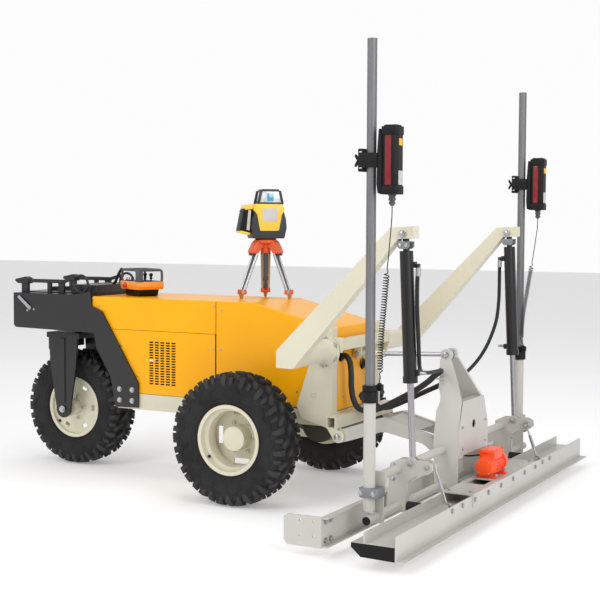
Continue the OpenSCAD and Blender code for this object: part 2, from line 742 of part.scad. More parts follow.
// Two bent side plates that meet at the top link pin, with a front cover
module a_frame() place() color(pale) {
    leg_y = 191;
    leg_t = 12;
    knee_z = 380;
    lean = 23.4;
    both_sides() {
        difference() {
            plate_xz([[890, 96], [960, 96], [960, 118], [1004, 118], [1004, knee_z],
                [886, knee_z], [882, 330]], -leg_y, leg_t);
            for (z = [lower_pipe_z, upper_pipe_z]) along_y([pipe_x, -leg_y, z], pipe_d + 0.6, 40);
        }
        // Leaning upper plate with its hollowed rear edge
        translate([0, -leg_y, knee_z]) rotate([-lean, 0, 0]) difference() {
            plate_xz([[886, 0], [1004, 0], [1000, 150], [912, 352], [900, 362],
                [864, 362], [856, 340], [870, 250]], 0, leg_t);
            along_y([790, 0, 150], 200, 60, 64);
        }
        difference() {
            along_y([apex_pin[0], -32, apex_pin[2]], 56, 32);
            along_y(apex_pin, link_pin_d + 0.2, 90);
        }
        // Shelf that carries the hoses
        block([868, -124, 611], [892, -84, 618]);
    }
    along_y(apex_pin, link_pin_d, 76);
    // Front cover
    difference() {
        translate([1004, 0, 0]) rotate([90, 0, 90]) linear_extrude(6)
            polygon([[-leg_y, 268], [leg_y, 268], [leg_y, 385], [132, 520], [-132, 520],
                [-leg_y, 385]]);
        along_x([1000, 0, 400], 40, 20, 48);
    }
    block([960, -130, 505], [1004, 130, 517]);
    block([990, -181, 274], [1004, 181, 286]);
}

module plough() place() color(pale) {
    h = plough_len / 2;
    difference() {
        block([804, -h, 48], [836, h, 170]);
        block([811, -h - 1, 55], [837, h + 1, 163]);
    }
    both_sides() {
        // Side wing with the holes for an extension
        difference() {
            plate_xz([[641, 66], [656, 46], [812, 46], [812, 174], [656, 171], [641, 158]], -h - 8, 8);
            for (x = [715, 777]) for (z = [91.5, 151.5]) along_y([x, -h - 4, z], 9, 20, 24);
        }
        // Rear tie that stiffens the wing, and the bolts of the plough arms
        block([700, -h - 1, 48], [805, -h + 5, 60]);
        for (y = [-595, -545]) for (z = [72, 148]) bolt_head_x([811, y, z], 9);
    }
}

// Mast foot, lower tube and black collar
module mast() place() color(cream) translate([mast_x, -mast_y, 0]) {
    difference() {
        union() {
            along_z([0, 0, mast_low], mast_d, 480, 64);
            along_z([0, 0, collar_low], mast_d + 18, collar_high - collar_low, 64);
            // Clamp block with two bolts
            block([-34, -34, 222], [52, 41.5, 262]);
            // Saddle on the end of the lower pipe
            block([-20, -18, 152.5], [22, 20, mast_low + 4]);
        }
        along_z([0, 0, mast_low + 20], slide_d + 2 * run, 700, 64);
    }
    for (x = [-22, 34]) bolt_head_y([x, -34, 242], 9);
}
module near_mast() mast();
module far_mast() far_side() mast();

module mast_tube(top_z) place() color(bright) translate([mast_x, -mast_y, 0]) {
    difference() {
        along_z([0, 0, slide_bottom], slide_d, top_z - slide_bottom, 64);
        along_z([0, 0, slide_bottom - 1], slide_d - 6, top_z - slide_bottom + 2, 64);
    }
    along_z([0, 0, top_z - 8], slide_d - 6, 8, 32);
    // Stop ring that rests on the collar, with the socket of the receiver lead
    difference() {
        union() {
            along_z([0, 0, collar_high + 1], 62, 24, 64);
            block([20, 12, collar_high + 1], [46, 36, collar_high + 29]);
        }
        along_z([0, 0, collar_high], slide_d - 2, 40, 64);
    }
}
module near_mast_tube() mast_tube(mast_tops[0]);
module far_mast_tube() far_side() mast_tube(mast_tops[1]);

// Laser receiver with its mast clamp; zc is the middle of its body
module receiver(zc) place() color(black) translate([0, -mast_y, zc]) {
    difference() {
        union() {
            translate([receiver_x, 0, -138]) cylinder(d = 78, h = 276, $fn = 64);
            translate([receiver_x, 0, -120]) cylinder(d = 82, h = 14, $fn = 64);
            translate([receiver_x, 0, 112]) cylinder(d = 82, h = 14, $fn = 64);
            block([mast_x - 44, -30, -46], [mast_x + 60, 30, 46]);
            // Cable socket
            along_z([receiver_x, 0, -184], 24, 48, 40);
        }
        along_z([mast_x, 0, -60], slide_d + 2 * run, 120, 64);
        // Bore of the clamp screw
        along_x([mast_x - 60, 0, 0], 10 + 2 * run, 30, 32);
    }
}
module near_receiver() receiver(near_receiver_z);
module far_receiver() far_side() receiver(far_receiver_z);

// Wing screw of a receiver clamp
module clamp_knob(zc) place() color(black) translate([0, -mast_y, zc]) {
    along_x([mast_x - 62, 0, 0], 10, 28, 32);
    along_x([mast_x - 58, 0, 0], 22, 8, 32);
    block([mast_x - 74, -7, -24], [mast_x - 58, 7, 24]);
}
module near_clamp_knob() clamp_knob(near_receiver_z);
module far_clamp_knob() far_side() clamp_knob(far_receiver_z);

// Curly receiver lead: thin lead down to a stout coil
module near_cable() place() color(rubber) {
    tube(near_lead, lead_d, 8);
    tube(near_coil, coil_d, 8);
    tube(near_tail, lead_d, 8);
}
module far_cable() place() color(rubber) {
    tube(far_lead, lead_d, 8);
    tube(far_coil, coil_d, 8);
    tube(far_tail, lead_d, 8);
}

// ---------- screed plate and vibrator ----------

module screed_plate() place() color(pale) {
    h = screed_len / 2;
    pan = [[978, deck_z], [978, 94], [1020, plate_low + 3], [front_flange_x, plate_low],
        [front_flange_x, deck_z]];
    cavity = [[984, deck_z - 6], [984, 97], [1022, plate_low + 9],
        [front_flange_x - 6, plate_low + 6], [front_flange_x - 6, deck_z - 6]];
    difference() {
        plate_xz(pan, -h, 2 * h);
        plate_xz(cavity, -h + 6, 2 * h - 12);
    }
    block([rear_flange_x, -h, deck_z], [rear_flange_x + 6, h, flange_top]);
    block([front_flange_x, -h, plate_low], [front_flange_x + 6, h, flange_top]);
    block([front_flange_x + 6, -h, plate_low - 2], [lip_x, h, plate_low + 4]);
    // Raised cover that carries the vibrator
    difference() {
        block([rear_flange_x, -cover_half, flange_top], [front_flange_x + 12, cover_half, cover_top]);
        block([1056, -225, 150], [1144, -95, 170]);
    }
    block([front_flange_x + 6, -cover_half, 108], [front_flange_x + 12, cover_half, flange_top]);
    for (y = [-425 : 170 : 425]) bolt_head_x([front_flange_x + 12, y, 138], 8);
    both_sides() {
        for (y = [-tie_y - 60, -tie_y + 60]) bolt_head_x([front_flange_x + 6, y, 138], 8);
        // Eye bracket of the tie rod
        block([1108, -tie_y - 24, deck_z], [1142, -tie_y + 24, deck_z + 6]);
        for (y = [-tie_y - 20, -tie_y + 12]) plate_xz([[1110, deck_z + 6], [1140, deck_z + 6],
            [1134, 150], [1116, 150]], y, 8);
        rod_between([1125, -tie_y - 20, 140], [1125, -tie_y + 20, 140], 8);
    }
}

// Rubber buffers between the head brackets and the rear flange: station of the
// bracket's face and distance from the centre plane
mounts = [[961.5, arm_y], [1006, 175]];
module rubber_mounts() place() color(rubber)
    both_sides() for (m = mounts)
        along_x([m[0], -m[1], 134], 40, rear_flange_x - m[0] - 0.5, 40);

// Turnbuckles that set the plate's angle
module tie_rods() place() color(bright) both_sides() {
    top = [1064, -tie_y, 310];
    low = [1125, -tie_y, 140];
    dir = unit(low - top);
    difference() {
        along_y(top, 30, 18);
        along_y(top, 14.4, 30);
    }
    rod_between(top + 13 * dir, low - 13 * dir, 9);
    rod_between(top + 55 * dir, low - 60 * dir, 17, 6);
    difference() {
        along_y(low, 32, 14);
        along_y(low, 21, 30);
    }
}

module vibrator() place() color([1.0, 0.33, 0.15]) translate([vib_x, 0, vib_z]) {
    difference() {
        union() {
            along_y([0, 0, 0], 88, 170, 64);
            along_y([0, 0, 0], 78, 228, 64);
            block([-32, -68, 20], [32, 48, 62]);
            block([-38, -76, 61], [38, 56, 74]);
            for (s = [-1, 1]) {
                block([-50, s * 62 - 14, cover_top - vib_z], [50, s * 62 + 14, cover_top - vib_z + 12]);
                block([-34, s * 62 - 8, cover_top - vib_z], [34, s * 62 + 8, -20]);
            }
        }
        along_y([0, 0, 0], 72, 200, 64);
        along_y([0, 0, 0], 16 + 2 * run, 212, 40);
    }
}

// Short cable that hangs between the junction box and the upper pipe
module motor_cable() place() color(rubber) tube(motor_route, motor_cable_d, 8);

module vibrator_rotor() place() color(bright) translate([vib_x, 0, vib_z]) {
    along_y([0, 0, 0], 16, 210, 40);
    along_y([0, 0, 0], 50, 90, 48);
    for (s = [-1, 1]) difference() {
        along_y([0, s * 76, 0], 62, 24, 48);
        block([-40, s * 76 - 20, 0], [40, s * 76 + 20, 40]);
    }
}

// ---------- drawbar and top link ----------

module drawbar() place() color(cream) {
    slot_from = -2.5;
    slot_to = 13.5;
    slot_d = hitch_pin_d + 3;
    side_view = [[432, 312], [457, 306], [600, 346], [800, 306], [838, 284], [894, 284],
        [894, 338], [868, 344], [610, 412], [590, 412], [457, 368], [432, 362]];
    both_sides() difference() {
        intersection() {
            translate([0, 0, 280]) linear_extrude(140)
                polygon([[428, -312], [501, -312], [617, -132], [896, -132], [896, -108],
                    [600, -108], [489, -288], [428, -288]]);
            plate_xz(side_view, -320, 320);
        }
        along_y([hitch_pin[0], -hitch_pin[1], hitch_pin[2]], hitch_pin_d + 2 * run, 60);
        for (x = [slot_from, slot_to])
            along_y([head_pin[0] + x, -head_pin[1], head_pin[2]], slot_d, 60);
        block([head_pin[0] + slot_from, -150, head_pin[2] - slot_d / 2],
            [head_pin[0] + slot_to, -90, head_pin[2] + slot_d / 2]);
    }
    // Top plate and cross tube between the arms
    translate([600, 0, 406]) rotate([0, 14.2, 0]) block([0, -112, -6], [180, 112, 0]);
    along_y([620, 0, 368], 34, 224, 40);
}

module top_link_tube() place() color(cream) {
    tilt = -atan2(apex_pin[2] - link_pin[2], apex_pin[0] - link_pin[0]);
    translate(link_pin) rotate([0, tilt, 0]) difference() {
        union() {
            along_y([0, 0, 0], 40, 36);
            along_x([14, 0, 0], 36, 126, 48);
        }
        along_y([0, 0, 0], link_pin_d + 2 * run, 50);
        along_x([34, 0, 0], 22 + 2 * run, 120, 48);
    }
}

module top_link_rod() place() color(bright) {
    tilt = -atan2(apex_pin[2] - link_pin[2], apex_pin[0] - link_pin[0]);
    reach = norm(apex_pin - link_pin);
    translate(link_pin) rotate([0, tilt, 0]) {
        along_x([60, 0, 0], 22, reach - 60 - 20, 48);
        difference() {
            union() for (x = [-3, 9.5]) along_y([reach + x, 0, 0], 46, 24);
            for (x = [-3, 9.5]) along_y([reach + x, 0, 0], link_pin_d + 4, 40);
            block([reach - 3, -20, -link_pin_d / 2 - 2], [reach + 9.5, 20, link_pin_d / 2 + 2]);
        }
    }
}

// ---------- loose items on the bonnet ----------

module at_remote() place() translate([remote_x, remote_y, hood_top + 0.5])
    rotate([0, 0, remote_turn]) children();

module remote_body() at_remote() color([1.0, 0.62, 0.2]) {
    difference() {
        union() {
            block([-80, -55, 0], [80, 55, 37]);
            block([-110, -75, 36], [110, 75, 78]);
        }
        // Sockets of the button and the sticks
        along_y([estop_x, -62, 58], 24, 28, 32);
        for (x = stick_x) along_z([x, stick_y, 62], 26, 30, 32);
    }
    // Guard frame over the sticks
    both_sides() {
        block([-110, -75, 78], [-98, -63, 131]);
        block([98, -75, 78], [110, -63, 131]);
        block([-110, -75, 131], [110, -63, 145]);
    }
    block([-110, -63, 131], [-98, 63, 145]);
    block([98, -63, 131], [110, 63, 145]);
    for (x = [-90, -62, -34]) along_z([x, -46, 78], 6, 18, 16);
}

module estop_button() at_remote() color([0.9, 0.1, 0.08]) {
    along_y([estop_x, -73, 58], 20, 24, 32);
    along_y([estop_x, -91, 58], 30, 12, 40);
}

module joystick(x) at_remote() color(black) {
    along_z([x, stick_y, 66], 9, 38, 24);
    translate([x, stick_y, 112]) sphere(d = 20, $fn = 32);
}
module near_joystick() joystick(stick_x[0]);
module far_joystick() joystick(stick_x[1]);

module at_tripod() place() translate([tripod_x, tripod_y, 0]) children();

module tripod_head() at_tripod() color([0.94, 0.35, 0.12]) {
    translate([0, 0, tripod_top + 62]) cylinder(d = 150, h = 22, $fn = 48);
    translate([0, 0, tripod_top + 10]) cylinder(d1 = 60, d2 = 120, h = 52, $fn = 48);
    for (a = [0 : 120 : 240]) rotate([0, 0, a])
        block([30, -28, tripod_top + 12], [76, 28, tripod_top + 62]);
}

module tripod_legs() at_tripod() color(bright)
    for (a = [0 : 120 : 240]) rotate([0, 0, a]) {
        for (y = [-20, 20])
            rod_between([tripod_r, y * 0.75, hood_top + 30], [62, y, tripod_top + 9], 15, 24);
        translate([tripod_r + 4, 0, hood_top + 0.5]) cylinder(d1 = 14, d2 = 30, h = 26, $fn = 32);
        block([tripod_r - 12, -24, hood_top + 26], [tripod_r + 14, 24, hood_top + 46]);
    }

laser_z = tripod_top + 84.5;
module at_laser() at_tripod()
    translate([laser_shift[0], laser_shift[1], laser_z]) rotate([0, 0, laser_turn]) children();

module laser_body() at_laser() color([0.98, 0.84, 0.25]) {
    difference() {
        union() {
            // Foot, body, battery pack and head with the beam window
            translate([-15, 0, 0]) cylinder(d = 110, h = 6, $fn = 48);
            plate_xz([[-97, 5], [71, 5], [83, 60], [71, 182], [-93, 182], [-105, 60]], -70, 140);
            plate_xz([[-165, 38], [-98, 22], [-94, 182], [-139, 176]], -52, 104);
            plate_xz([[-66, 181], [66, 181], [46, 260], [-46, 260]], -50, 100);
        }
        // Chamber and shaft bore of the rotating prism
        along_z([0, 0, 190], 70, 56, 48);
        along_z([0, 0, 120], 20 + 2 * run, 80, 40);
    }
}

module laser_rotor() at_laser() color(bright) {
    along_z([0, 0, 125], 20, 70, 40);
    along_z([0, 0, 194], 46, 42, 48);
}

chassis();
towers();
hitch_beam();
top_link_beam();
near_lift_arm();
far_lift_arm();
near_barrel();
far_barrel();
rear_hood();
side_panels();
front_hood();
weight_box();
counterweight();
handle_frame();
engine();
cooling_fan();
tanks();
drive_motors();
hoses();
box_lid();
box_latch();
rear_fork();
rear_tyre();
rear_rim();
near_tyre();
near_rim();
far_tyre();
far_rim();
pipe_frame();
a_frame();
plough();
near_mast();
far_mast();
near_ram();
far_ram();
tie_rods();
drawbar();
top_link_tube();
top_link_rod();
near_mast_tube();
far_mast_tube();
near_receiver();
far_receiver();
near_clamp_knob();
far_clamp_knob();
screed_plate();
rubber_mounts();
vibrator();
vibrator_rotor();
motor_cable();
near_cable();
far_cable();
remote_body();
estop_button();
near_joystick();
far_joystick();
tripod_head();
tripod_legs();
laser_body();
laser_rotor();
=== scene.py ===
"""Looks of a three-wheel laser power screed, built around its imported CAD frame.

Lengths in the tables and calls are millimetres in the machine's own stations: X is counted from
the drive axle towards the head, Z is up from the ground and the near side is -Y. place() turns
them into metres in the frame of the CAD model.
"""

import math

import bmesh
import bpy
from mathutils import Matrix, Vector


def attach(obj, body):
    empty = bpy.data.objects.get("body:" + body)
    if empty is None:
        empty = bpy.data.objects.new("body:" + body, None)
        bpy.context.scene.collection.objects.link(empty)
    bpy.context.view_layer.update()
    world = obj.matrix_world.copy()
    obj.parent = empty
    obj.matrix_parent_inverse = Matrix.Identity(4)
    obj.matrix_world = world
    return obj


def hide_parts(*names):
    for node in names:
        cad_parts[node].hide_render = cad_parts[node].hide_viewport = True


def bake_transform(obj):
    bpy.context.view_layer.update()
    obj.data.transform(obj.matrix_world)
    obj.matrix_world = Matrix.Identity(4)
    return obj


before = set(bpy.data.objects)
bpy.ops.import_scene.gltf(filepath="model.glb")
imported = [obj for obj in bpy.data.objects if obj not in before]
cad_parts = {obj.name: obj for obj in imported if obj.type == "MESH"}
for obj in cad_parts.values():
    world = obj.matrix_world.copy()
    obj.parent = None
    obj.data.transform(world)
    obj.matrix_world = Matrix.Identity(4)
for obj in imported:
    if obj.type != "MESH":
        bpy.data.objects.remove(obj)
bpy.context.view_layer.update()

AXLE_X = 210.0          # the drive axle's distance from the origin
MM = 0.001


def place(p):
    """A station in millimetres as a point in metres."""
    return Vector(((p[0] + AXLE_X) * MM, p[1] * MM, p[2] * MM))


def station(v):
    """A point in metres as a station in millimetres."""
    return Vector((v[0] / MM - AXLE_X, v[1] / MM, v[2] / MM))


def add_object(name, data):
    obj = bpy.data.objects.new(name, data)
    bpy.context.collection.objects.link(obj)
    return obj


# -------- camera

CAMERA_AT = (3.249, -5.478, 1.326)
AZIMUTH, PITCH, ROLL = (math.radians(a) for a in (28.415, 3.434, 0.225))


def make_camera():
    right = Vector((math.cos(AZIMUTH), math.sin(AZIMUTH), 0))
    ahead = Vector((-math.sin(AZIMUTH) * math.cos(PITCH),
                    math.cos(AZIMUTH) * math.cos(PITCH), -math.sin(PITCH)))
    up = right.cross(ahead)
    level, raised = math.cos(ROLL), math.sin(ROLL)
    right, up = right * level + up * raised, up * level - right * raised
    data = bpy.data.cameras.new("camera")
    data.lens = 74.23
    data.sensor_width = 36
    camera = add_object("camera", data)
    turn = Matrix((right, up, -ahead)).transposed().to_4x4()
    camera.matrix_world = Matrix.Translation(CAMERA_AT) @ turn
    bpy.context.scene.camera = camera


make_camera()

# -------- materials


class Shader:
    """A node material with a Principled shader and a few shortcuts."""

    def __init__(self, name, rough=0.5, metal=0.0, **sockets):
        self.material = bpy.data.materials.new(name)
        self.material.use_nodes = True
        self.tree = self.material.node_tree
        self.bsdf = self.tree.nodes["Principled BSDF"]
        self.bsdf.inputs["Roughness"].default_value = rough
        self.bsdf.inputs["Metallic"].default_value = metal
        for socket, value in sockets.items():
            self.bsdf.inputs[socket.replace("_", " ")].default_value = value
        self.place = self.node("TexCoord").outputs["Object"]

    def node(self, kind, source=None, socket="Vector", **values):
        """Adds a node, feeds one of its sockets and sets the numbers of others."""
        n = self.tree.nodes.new("ShaderNode" + kind)
        if source:
            self.tree.links.new(source, n.inputs[socket])
        for name, value in values.items():
            n.inputs[name.replace("_", " ")].default_value = value
        return n

    def stretched(self, scale):
        return self.node("Mapping", self.place, Scale=scale).outputs["Vector"]

    def noise(self, scale, detail=3.0, at=None):
        return self.node("TexNoise", at or self.place, Scale=scale, Detail=detail).outputs["Fac"]

    def cells(self, scale):
        return self.node("TexVoronoi", self.place, Scale=scale).outputs["Distance"]

    def ramp(self, fac, stops):
        n = self.node("ValToRGB", fac, "Fac")
        for end, (position, colour) in zip(n.color_ramp.elements, stops):
            end.position = position
            end.color = (*colour, 1)
        return n.outputs["Color"]

    def spread(self, fac, low, high):
        return self.node("MapRange", fac, "Value", To_Min=low, To_Max=high).outputs["Result"]

    def mix(self, fac, a, colour):
        n = self.node("Mix")
        n.data_type = "RGBA"
        self.tree.links.new(fac, n.inputs["Factor"])
        self.tree.links.new(a, n.inputs["A"])
        n.inputs["B"].default_value = (*colour, 1)
        return n.outputs["Result"]

    def colour(self, value):
        self.tree.links.new(value, self.bsdf.inputs["Base Color"])

    def rough(self, value):
        self.tree.links.new(value, self.bsdf.inputs["Roughness"])

    def bump(self, *layers):
        """Each layer is a height, its strength and its distance in metres."""
        normal = None
        for height, strength, distance in layers:
            n = self.node("Bump", height, "Height", Strength=strength, Distance=distance)
            if normal:
                self.tree.links.new(normal, n.inputs["Normal"])
            normal = n.outputs["Normal"]
        self.tree.links.new(normal, self.bsdf.inputs["Normal"])


def shade(colour, factor):
    return tuple(min(1.0, c * factor) for c in colour)


def paint(name, colour, rough, coat, peel=0.25, grime=0.06, shine=0.4):
    """Sprayed enamel: faint cloudiness, orange peel, thin specks of dust."""
    s = Shader(name, rough, 0, Coat_Weight=coat, Coat_Roughness=0.12, Specular_IOR_Level=shine)
    clouds = s.noise(2.4, 4)
    fine = s.noise(60, 5)
    body = s.ramp(clouds, [(0.3, shade(colour, 0.95)), (0.7, shade(colour, 1.04))])
    specks = s.ramp(fine, [(0.62, (0, 0, 0)), (0.75, (grime, grime, grime))])
    s.colour(s.mix(specks, body, shade(colour, 0.6)))
    s.rough(s.spread(s.noise(18, 4), rough - 0.05, rough + 0.07))
    s.bump((s.noise(420, 2), peel, 0.0003), (clouds, 0.05, 0.002))
    return s.material


def rubber(name, colour, dust, rough=0.75):
    s = Shader(name, rough, 0, Specular_IOR_Level=0.35)
    clouds = s.noise(9, 5)
    s.colour(s.ramp(clouds, [(0.35, colour), (0.7, dust)]))
    s.rough(s.spread(s.noise(50, 4), rough - 0.1, rough + 0.12))
    s.bump((s.noise(300, 6), 0.35, 0.0006), (s.cells(900), 0.2, 0.0002))
    return s.material


def metal(name, colour, rough, streak=(60, 60, 4), bump=0.15, metalness=1.0):
    """Bright metal with fine drawing lines along one direction."""
    s = Shader(name, rough, metalness)
    lines = s.noise(14, 6, s.stretched(streak))
    s.colour(s.ramp(lines, [(0.3, shade(colour, 0.82)), (0.7, shade(colour, 1.08))]))
    s.rough(s.spread(lines, rough - 0.07, rough + 0.1))
    s.bump((lines, bump, 0.0002))
    return s.material


def cast(name, colour, rough=0.6):
    s = Shader(name, rough, 0.35)
    skin = s.noise(140, 6)
    s.colour(s.ramp(s.noise(7, 5), [(0.3, shade(colour, 0.75)), (0.7, shade(colour, 1.2))]))
    s.rough(s.spread(skin, rough - 0.1, rough + 0.15))
    s.bump((skin, 0.5, 0.0012), (s.cells(500), 0.25, 0.0006))
    return s.material


def plastic(name, colour, rough, grain=700, strength=0.25, coat=0.0, shine=0.45):
    s = Shader(name, rough, 0, Coat_Weight=coat, Coat_Roughness=0.15, Specular_IOR_Level=shine)
    s.colour(s.ramp(s.noise(14, 3), [(0.3, shade(colour, 0.93)), (0.7, shade(colour, 1.06))]))
    s.rough(s.spread(s.noise(80, 3), rough - 0.06, rough + 0.08))
    s.bump((s.cells(grain), strength, 0.0002))
    return s.material


def lens(name, colour, rough=0.06, shine=0.7):
    s = Shader(name, rough, 0, Coat_Weight=shine, Coat_Roughness=0.03, Specular_IOR_Level=shine)
    s.colour(s.ramp(s.noise(30, 2), [(0.3, shade(colour, 0.8)), (0.7, shade(colour, 1.2))]))
    s.rough(s.spread(s.noise(90, 3), rough, rough + 0.08))
    s.bump((s.noise(8, 1), 0.03, 0.001))
    return s.material


def ribbed(name, colour, pitch, axis_vector, strength=0.6, rough=0.5):
    """Spirally wound sleeve: even ridges along one direction."""
    s = Shader(name, rough, 0)
    s.colour(s.ramp(s.noise(20, 4), [(0.3, colour), (0.7, shade(colour, 1.8))]))
    s.rough(s.spread(s.noise(120, 3), rough - 0.08, rough + 0.15))
    wave = s.node("TexWave", s.stretched(axis_vector), Scale=1 / pitch)
    s.bump((wave.outputs["Fac"], strength, 0.0008), (s.noise(400, 3), 0.2, 0.0003))
    return s.material


YELLOW = paint("bonnet_yellow", (1.0, 0.435, 0.003), 0.34, 0.12, shine=0.2)
CREAM = paint("cream_enamel", (0.68, 0.645, 0.50), 0.38, 0.2)
PALE = paint("head_enamel", (0.53, 0.515, 0.475), 0.42, 0.2)
BLACK = paint("black_enamel", (0.017, 0.0155, 0.0165), 0.40, 0.15, peel=0.35)
BARREL = paint("cylinder_enamel", (0.005, 0.005, 0.006), 0.3, 0.15)
RED_ORANGE = paint("vibrator_enamel", (1.0, 0.085, 0.012), 0.36, 0.12, shine=0.3)
TANK = paint("tank_enamel", (0.05, 0.05, 0.04), 0.5, 0.1)
TYRE = rubber("tyre_rubber", (0.010, 0.0095, 0.010), (0.022, 0.021, 0.021))
TREAD = rubber("tread_rubber", (0.018, 0.018, 0.019), (0.042, 0.041, 0.043), 0.62)
RUBBER = rubber("hose_rubber", (0.008, 0.008, 0.009), (0.018, 0.018, 0.019), 0.5)
CAST = cast("cast_iron", (0.10, 0.10, 0.105))
STEEL = metal("zinc_steel", (0.50, 0.50, 0.52), 0.30)
ZINC = metal("clamp_casting", (0.26, 0.27, 0.285), 0.5, streak=(20, 20, 20), bump=0.2,
             metalness=0.6)
TUBE = metal("mast_alloy", (0.205, 0.205, 0.21), 0.5, streak=(9, 9, 0.5), bump=0.02,
             metalness=0.7)
ALLOY = metal("leg_alloy", (0.50, 0.50, 0.52), 0.3, streak=(30, 30, 1), bump=0.04)
CHROME = metal("rod_chrome", (0.40, 0.39, 0.41), 0.2, streak=(60, 60, 2), bump=0.03)
BLACK_PLASTIC = plastic("black_plastic", (0.005, 0.005, 0.0055), 0.5, shine=0.25)
GREY_PLASTIC = plastic("grey_plastic", (0.075, 0.075, 0.082), 0.5)
DARK_SHELL = plastic("laser_base_grey", (0.028, 0.029, 0.032), 0.45)
ORANGE = plastic("remote_orange", (0.90, 0.33, 0.035), 0.35, coat=0.3)
TRIPOD_ORANGE = plastic("tripod_orange", (0.72, 0.095, 0.012), 0.4, coat=0.2)
LASER_YELLOW = plastic("laser_yellow", (0.92, 0.58, 0.045), 0.38, coat=0.2)
LABEL = plastic("plain_label", (0.55, 0.53, 0.50), 0.5, grain=1500, strength=0.05)
AMBER = plastic("plain_patch", (0.85, 0.45, 0.02), 0.45, grain=1500, strength=0.05)
RED = plastic("signal_red", (0.70, 0.012, 0.012), 0.28, coat=0.5)
RED_LENS = lens("receiver_window", (0.24, 0.010, 0.018), shine=0.3)
BLUE_LENS = lens("prism_blue", (0.05, 0.33, 0.62))
CLEAR_LENS = lens("beam_window", (0.62, 0.66, 0.70))
SLEEVE = ribbed("sleeve_rubber", (0.008, 0.008, 0.009), 0.009, (0.2, 0.2, 1.0), 0.4, 0.42)

# -------- mesh tools

SIDES = (("near", -1), ("far", 1))
OUT, IN, FRONT, UP = (0, -1, 0), (0, 1, 0), (1, 0, 0), (0, 0, 1)    # directions on the near side


def quarters(radius):
    """Four points on a circle, on its diagonals."""
    angles = [math.radians(45 + 90 * k) for k in range(4)]
    return [(radius * math.cos(a), radius * math.sin(a)) for a in angles]


def merge(target, part):
    """Adds a part to the target mesh as it is."""
    mesh = bpy.data.meshes.new("part")
    part.to_mesh(mesh)
    part.free()
    target.from_mesh(mesh)
    bpy.data.meshes.remove(mesh)


def sharp_edges(bm, degrees=28):
    limit = math.radians(degrees)
    return [e for e in bm.edges if len(e.link_faces) == 2 and e.calc_face_angle(0) > limit]


def round_edges(bm, width, segments=2, degrees=28, clamp=True):
    edges = sharp_edges(bm, degrees)
    if width and edges:
        bmesh.ops.bevel(bm, geom=edges, offset=width, segments=segments, profile=0.6,
                        affect="EDGES", clamp_overlap=clamp)


def join(target, part, width=0.0):
    """Rounds a part's sharp edges and adds it to the target mesh."""
    bmesh.ops.recalc_face_normals(part, faces=part.faces)
    round_edges(part, width)
    merge(target, part)


def bridge(part, rings):
    """Side faces between neighbouring rings of vertices; a ring may be a single point."""
    for a, b in zip(rings, rings[1:]):
        if len(a) == len(b) == 1:
            continue
        for k in range(max(len(a), len(b))):
            corners = (a[k % len(a)], a[(k + 1) % len(a)], b[(k + 1) % len(b)], b[k % len(b)])
            part.faces.new(dict.fromkeys(corners))


def cap_ends(part, rings):
    part.faces.new(rings[0][::-1])
    part.faces.new(rings[-1])


def add_box(bm, low, high, width=1.5):
    part = bmesh.new()
    size = [h - l for l, h in zip(low, high)]
    middle = [(h + l) / 2 for l, h in zip(low, high)]
    matrix = Matrix.Translation(middle) @ Matrix.Diagonal((*size, 1))
    bmesh.ops.create_cube(part, size=1.0, matrix=matrix)
    join(bm, part, width)


def add_prism(bm, outline, low, high, width=1.5, axis="y"):
    """Extrudes an outline: (x, z) points along y, (x, y) along z or (y, z) along x."""
    order = {"y": lambda a, b, d: (a, d, b), "z": lambda a, b, d: (a, b, d),
             "x": lambda a, b, d: (d, a, b)}[axis]
    part = bmesh.new()
    rings = [[part.verts.new(order(a, b, d)) for a, b in outline] for d in (low, high)]
    bridge(part, rings)
    cap_ends(part, rings)
    join(bm, part, width)


def frame_of(direction):
    """A matrix that turns +Z to a direction."""
    return Vector(direction).normalized().to_track_quat("Z", "Y").to_matrix().to_4x4()


def add_lathe(bm, profile, origin=(0, 0, 0), axis=(0, 0, 1), segments=48, start=0.0):
    """Turns a profile of (radius, height) points about an axis."""
    part = bmesh.new()
    rings = []
    for radius, height in profile:
        if radius < 1e-6:
            rings.append([part.verts.new((0, 0, height))])
            continue
        rings.append([part.verts.new((radius * math.cos(start + 2 * math.pi * k / segments),
                                      radius * math.sin(start + 2 * math.pi * k / segments),
                                      height)) for k in range(segments)])
    bridge(part, rings)
    bmesh.ops.transform(part, matrix=Matrix.Translation(origin) @ frame_of(axis), verts=part.verts)
    join(bm, part)


def add_rod(bm, a, b, radius, segments=32, chamfer=1.0):
    """A solid round bar with chamfered ends."""
    a, b = Vector(a), Vector(b)
    length = (b - a).length
    c = min(chamfer, radius * 0.5, length * 0.4)
    profile = [(0, 0), (radius - c, 0), (radius, c), (radius, length - c), (radius - c, length),
               (0, length)]
    add_lathe(bm, profile, a, b - a, segments)


def add_bolt(bm, at, axis, size, washer=True):
    """Hexagon bolt head with a washer and a chamfered crown; size is the thread diameter."""
    flat = size * 0.9
    height = size * 0.62
    base = 0.0
    if washer:
        add_lathe(bm, [(0, 0), (size * 1.1, 0), (size * 1.1, size * 0.14), (size * 0.5, size * 0.16)],
                  at, axis, 24)
        base = size * 0.15
    direction = Vector(axis).normalized()
    foot = Vector(at) + direction * base
    add_lathe(bm, [(flat, 0), (flat, height * 0.82), (flat * 0.8, height), (0, height)],
              foot, axis, 6, start=0.3)


def add_screw(bm, at, axis, size):
    """Dome-head screw on a small washer."""
    r = size
    add_lathe(bm, [(r * 1.35, 0), (r * 1.35, r * 0.2), (r, r * 0.25), (r * 0.86, r * 0.6),
                   (r * 0.5, r * 0.85), (r * 0.36, r * 0.86), (r * 0.34, r * 0.6), (0, r * 0.55)],
              at, axis, 20)


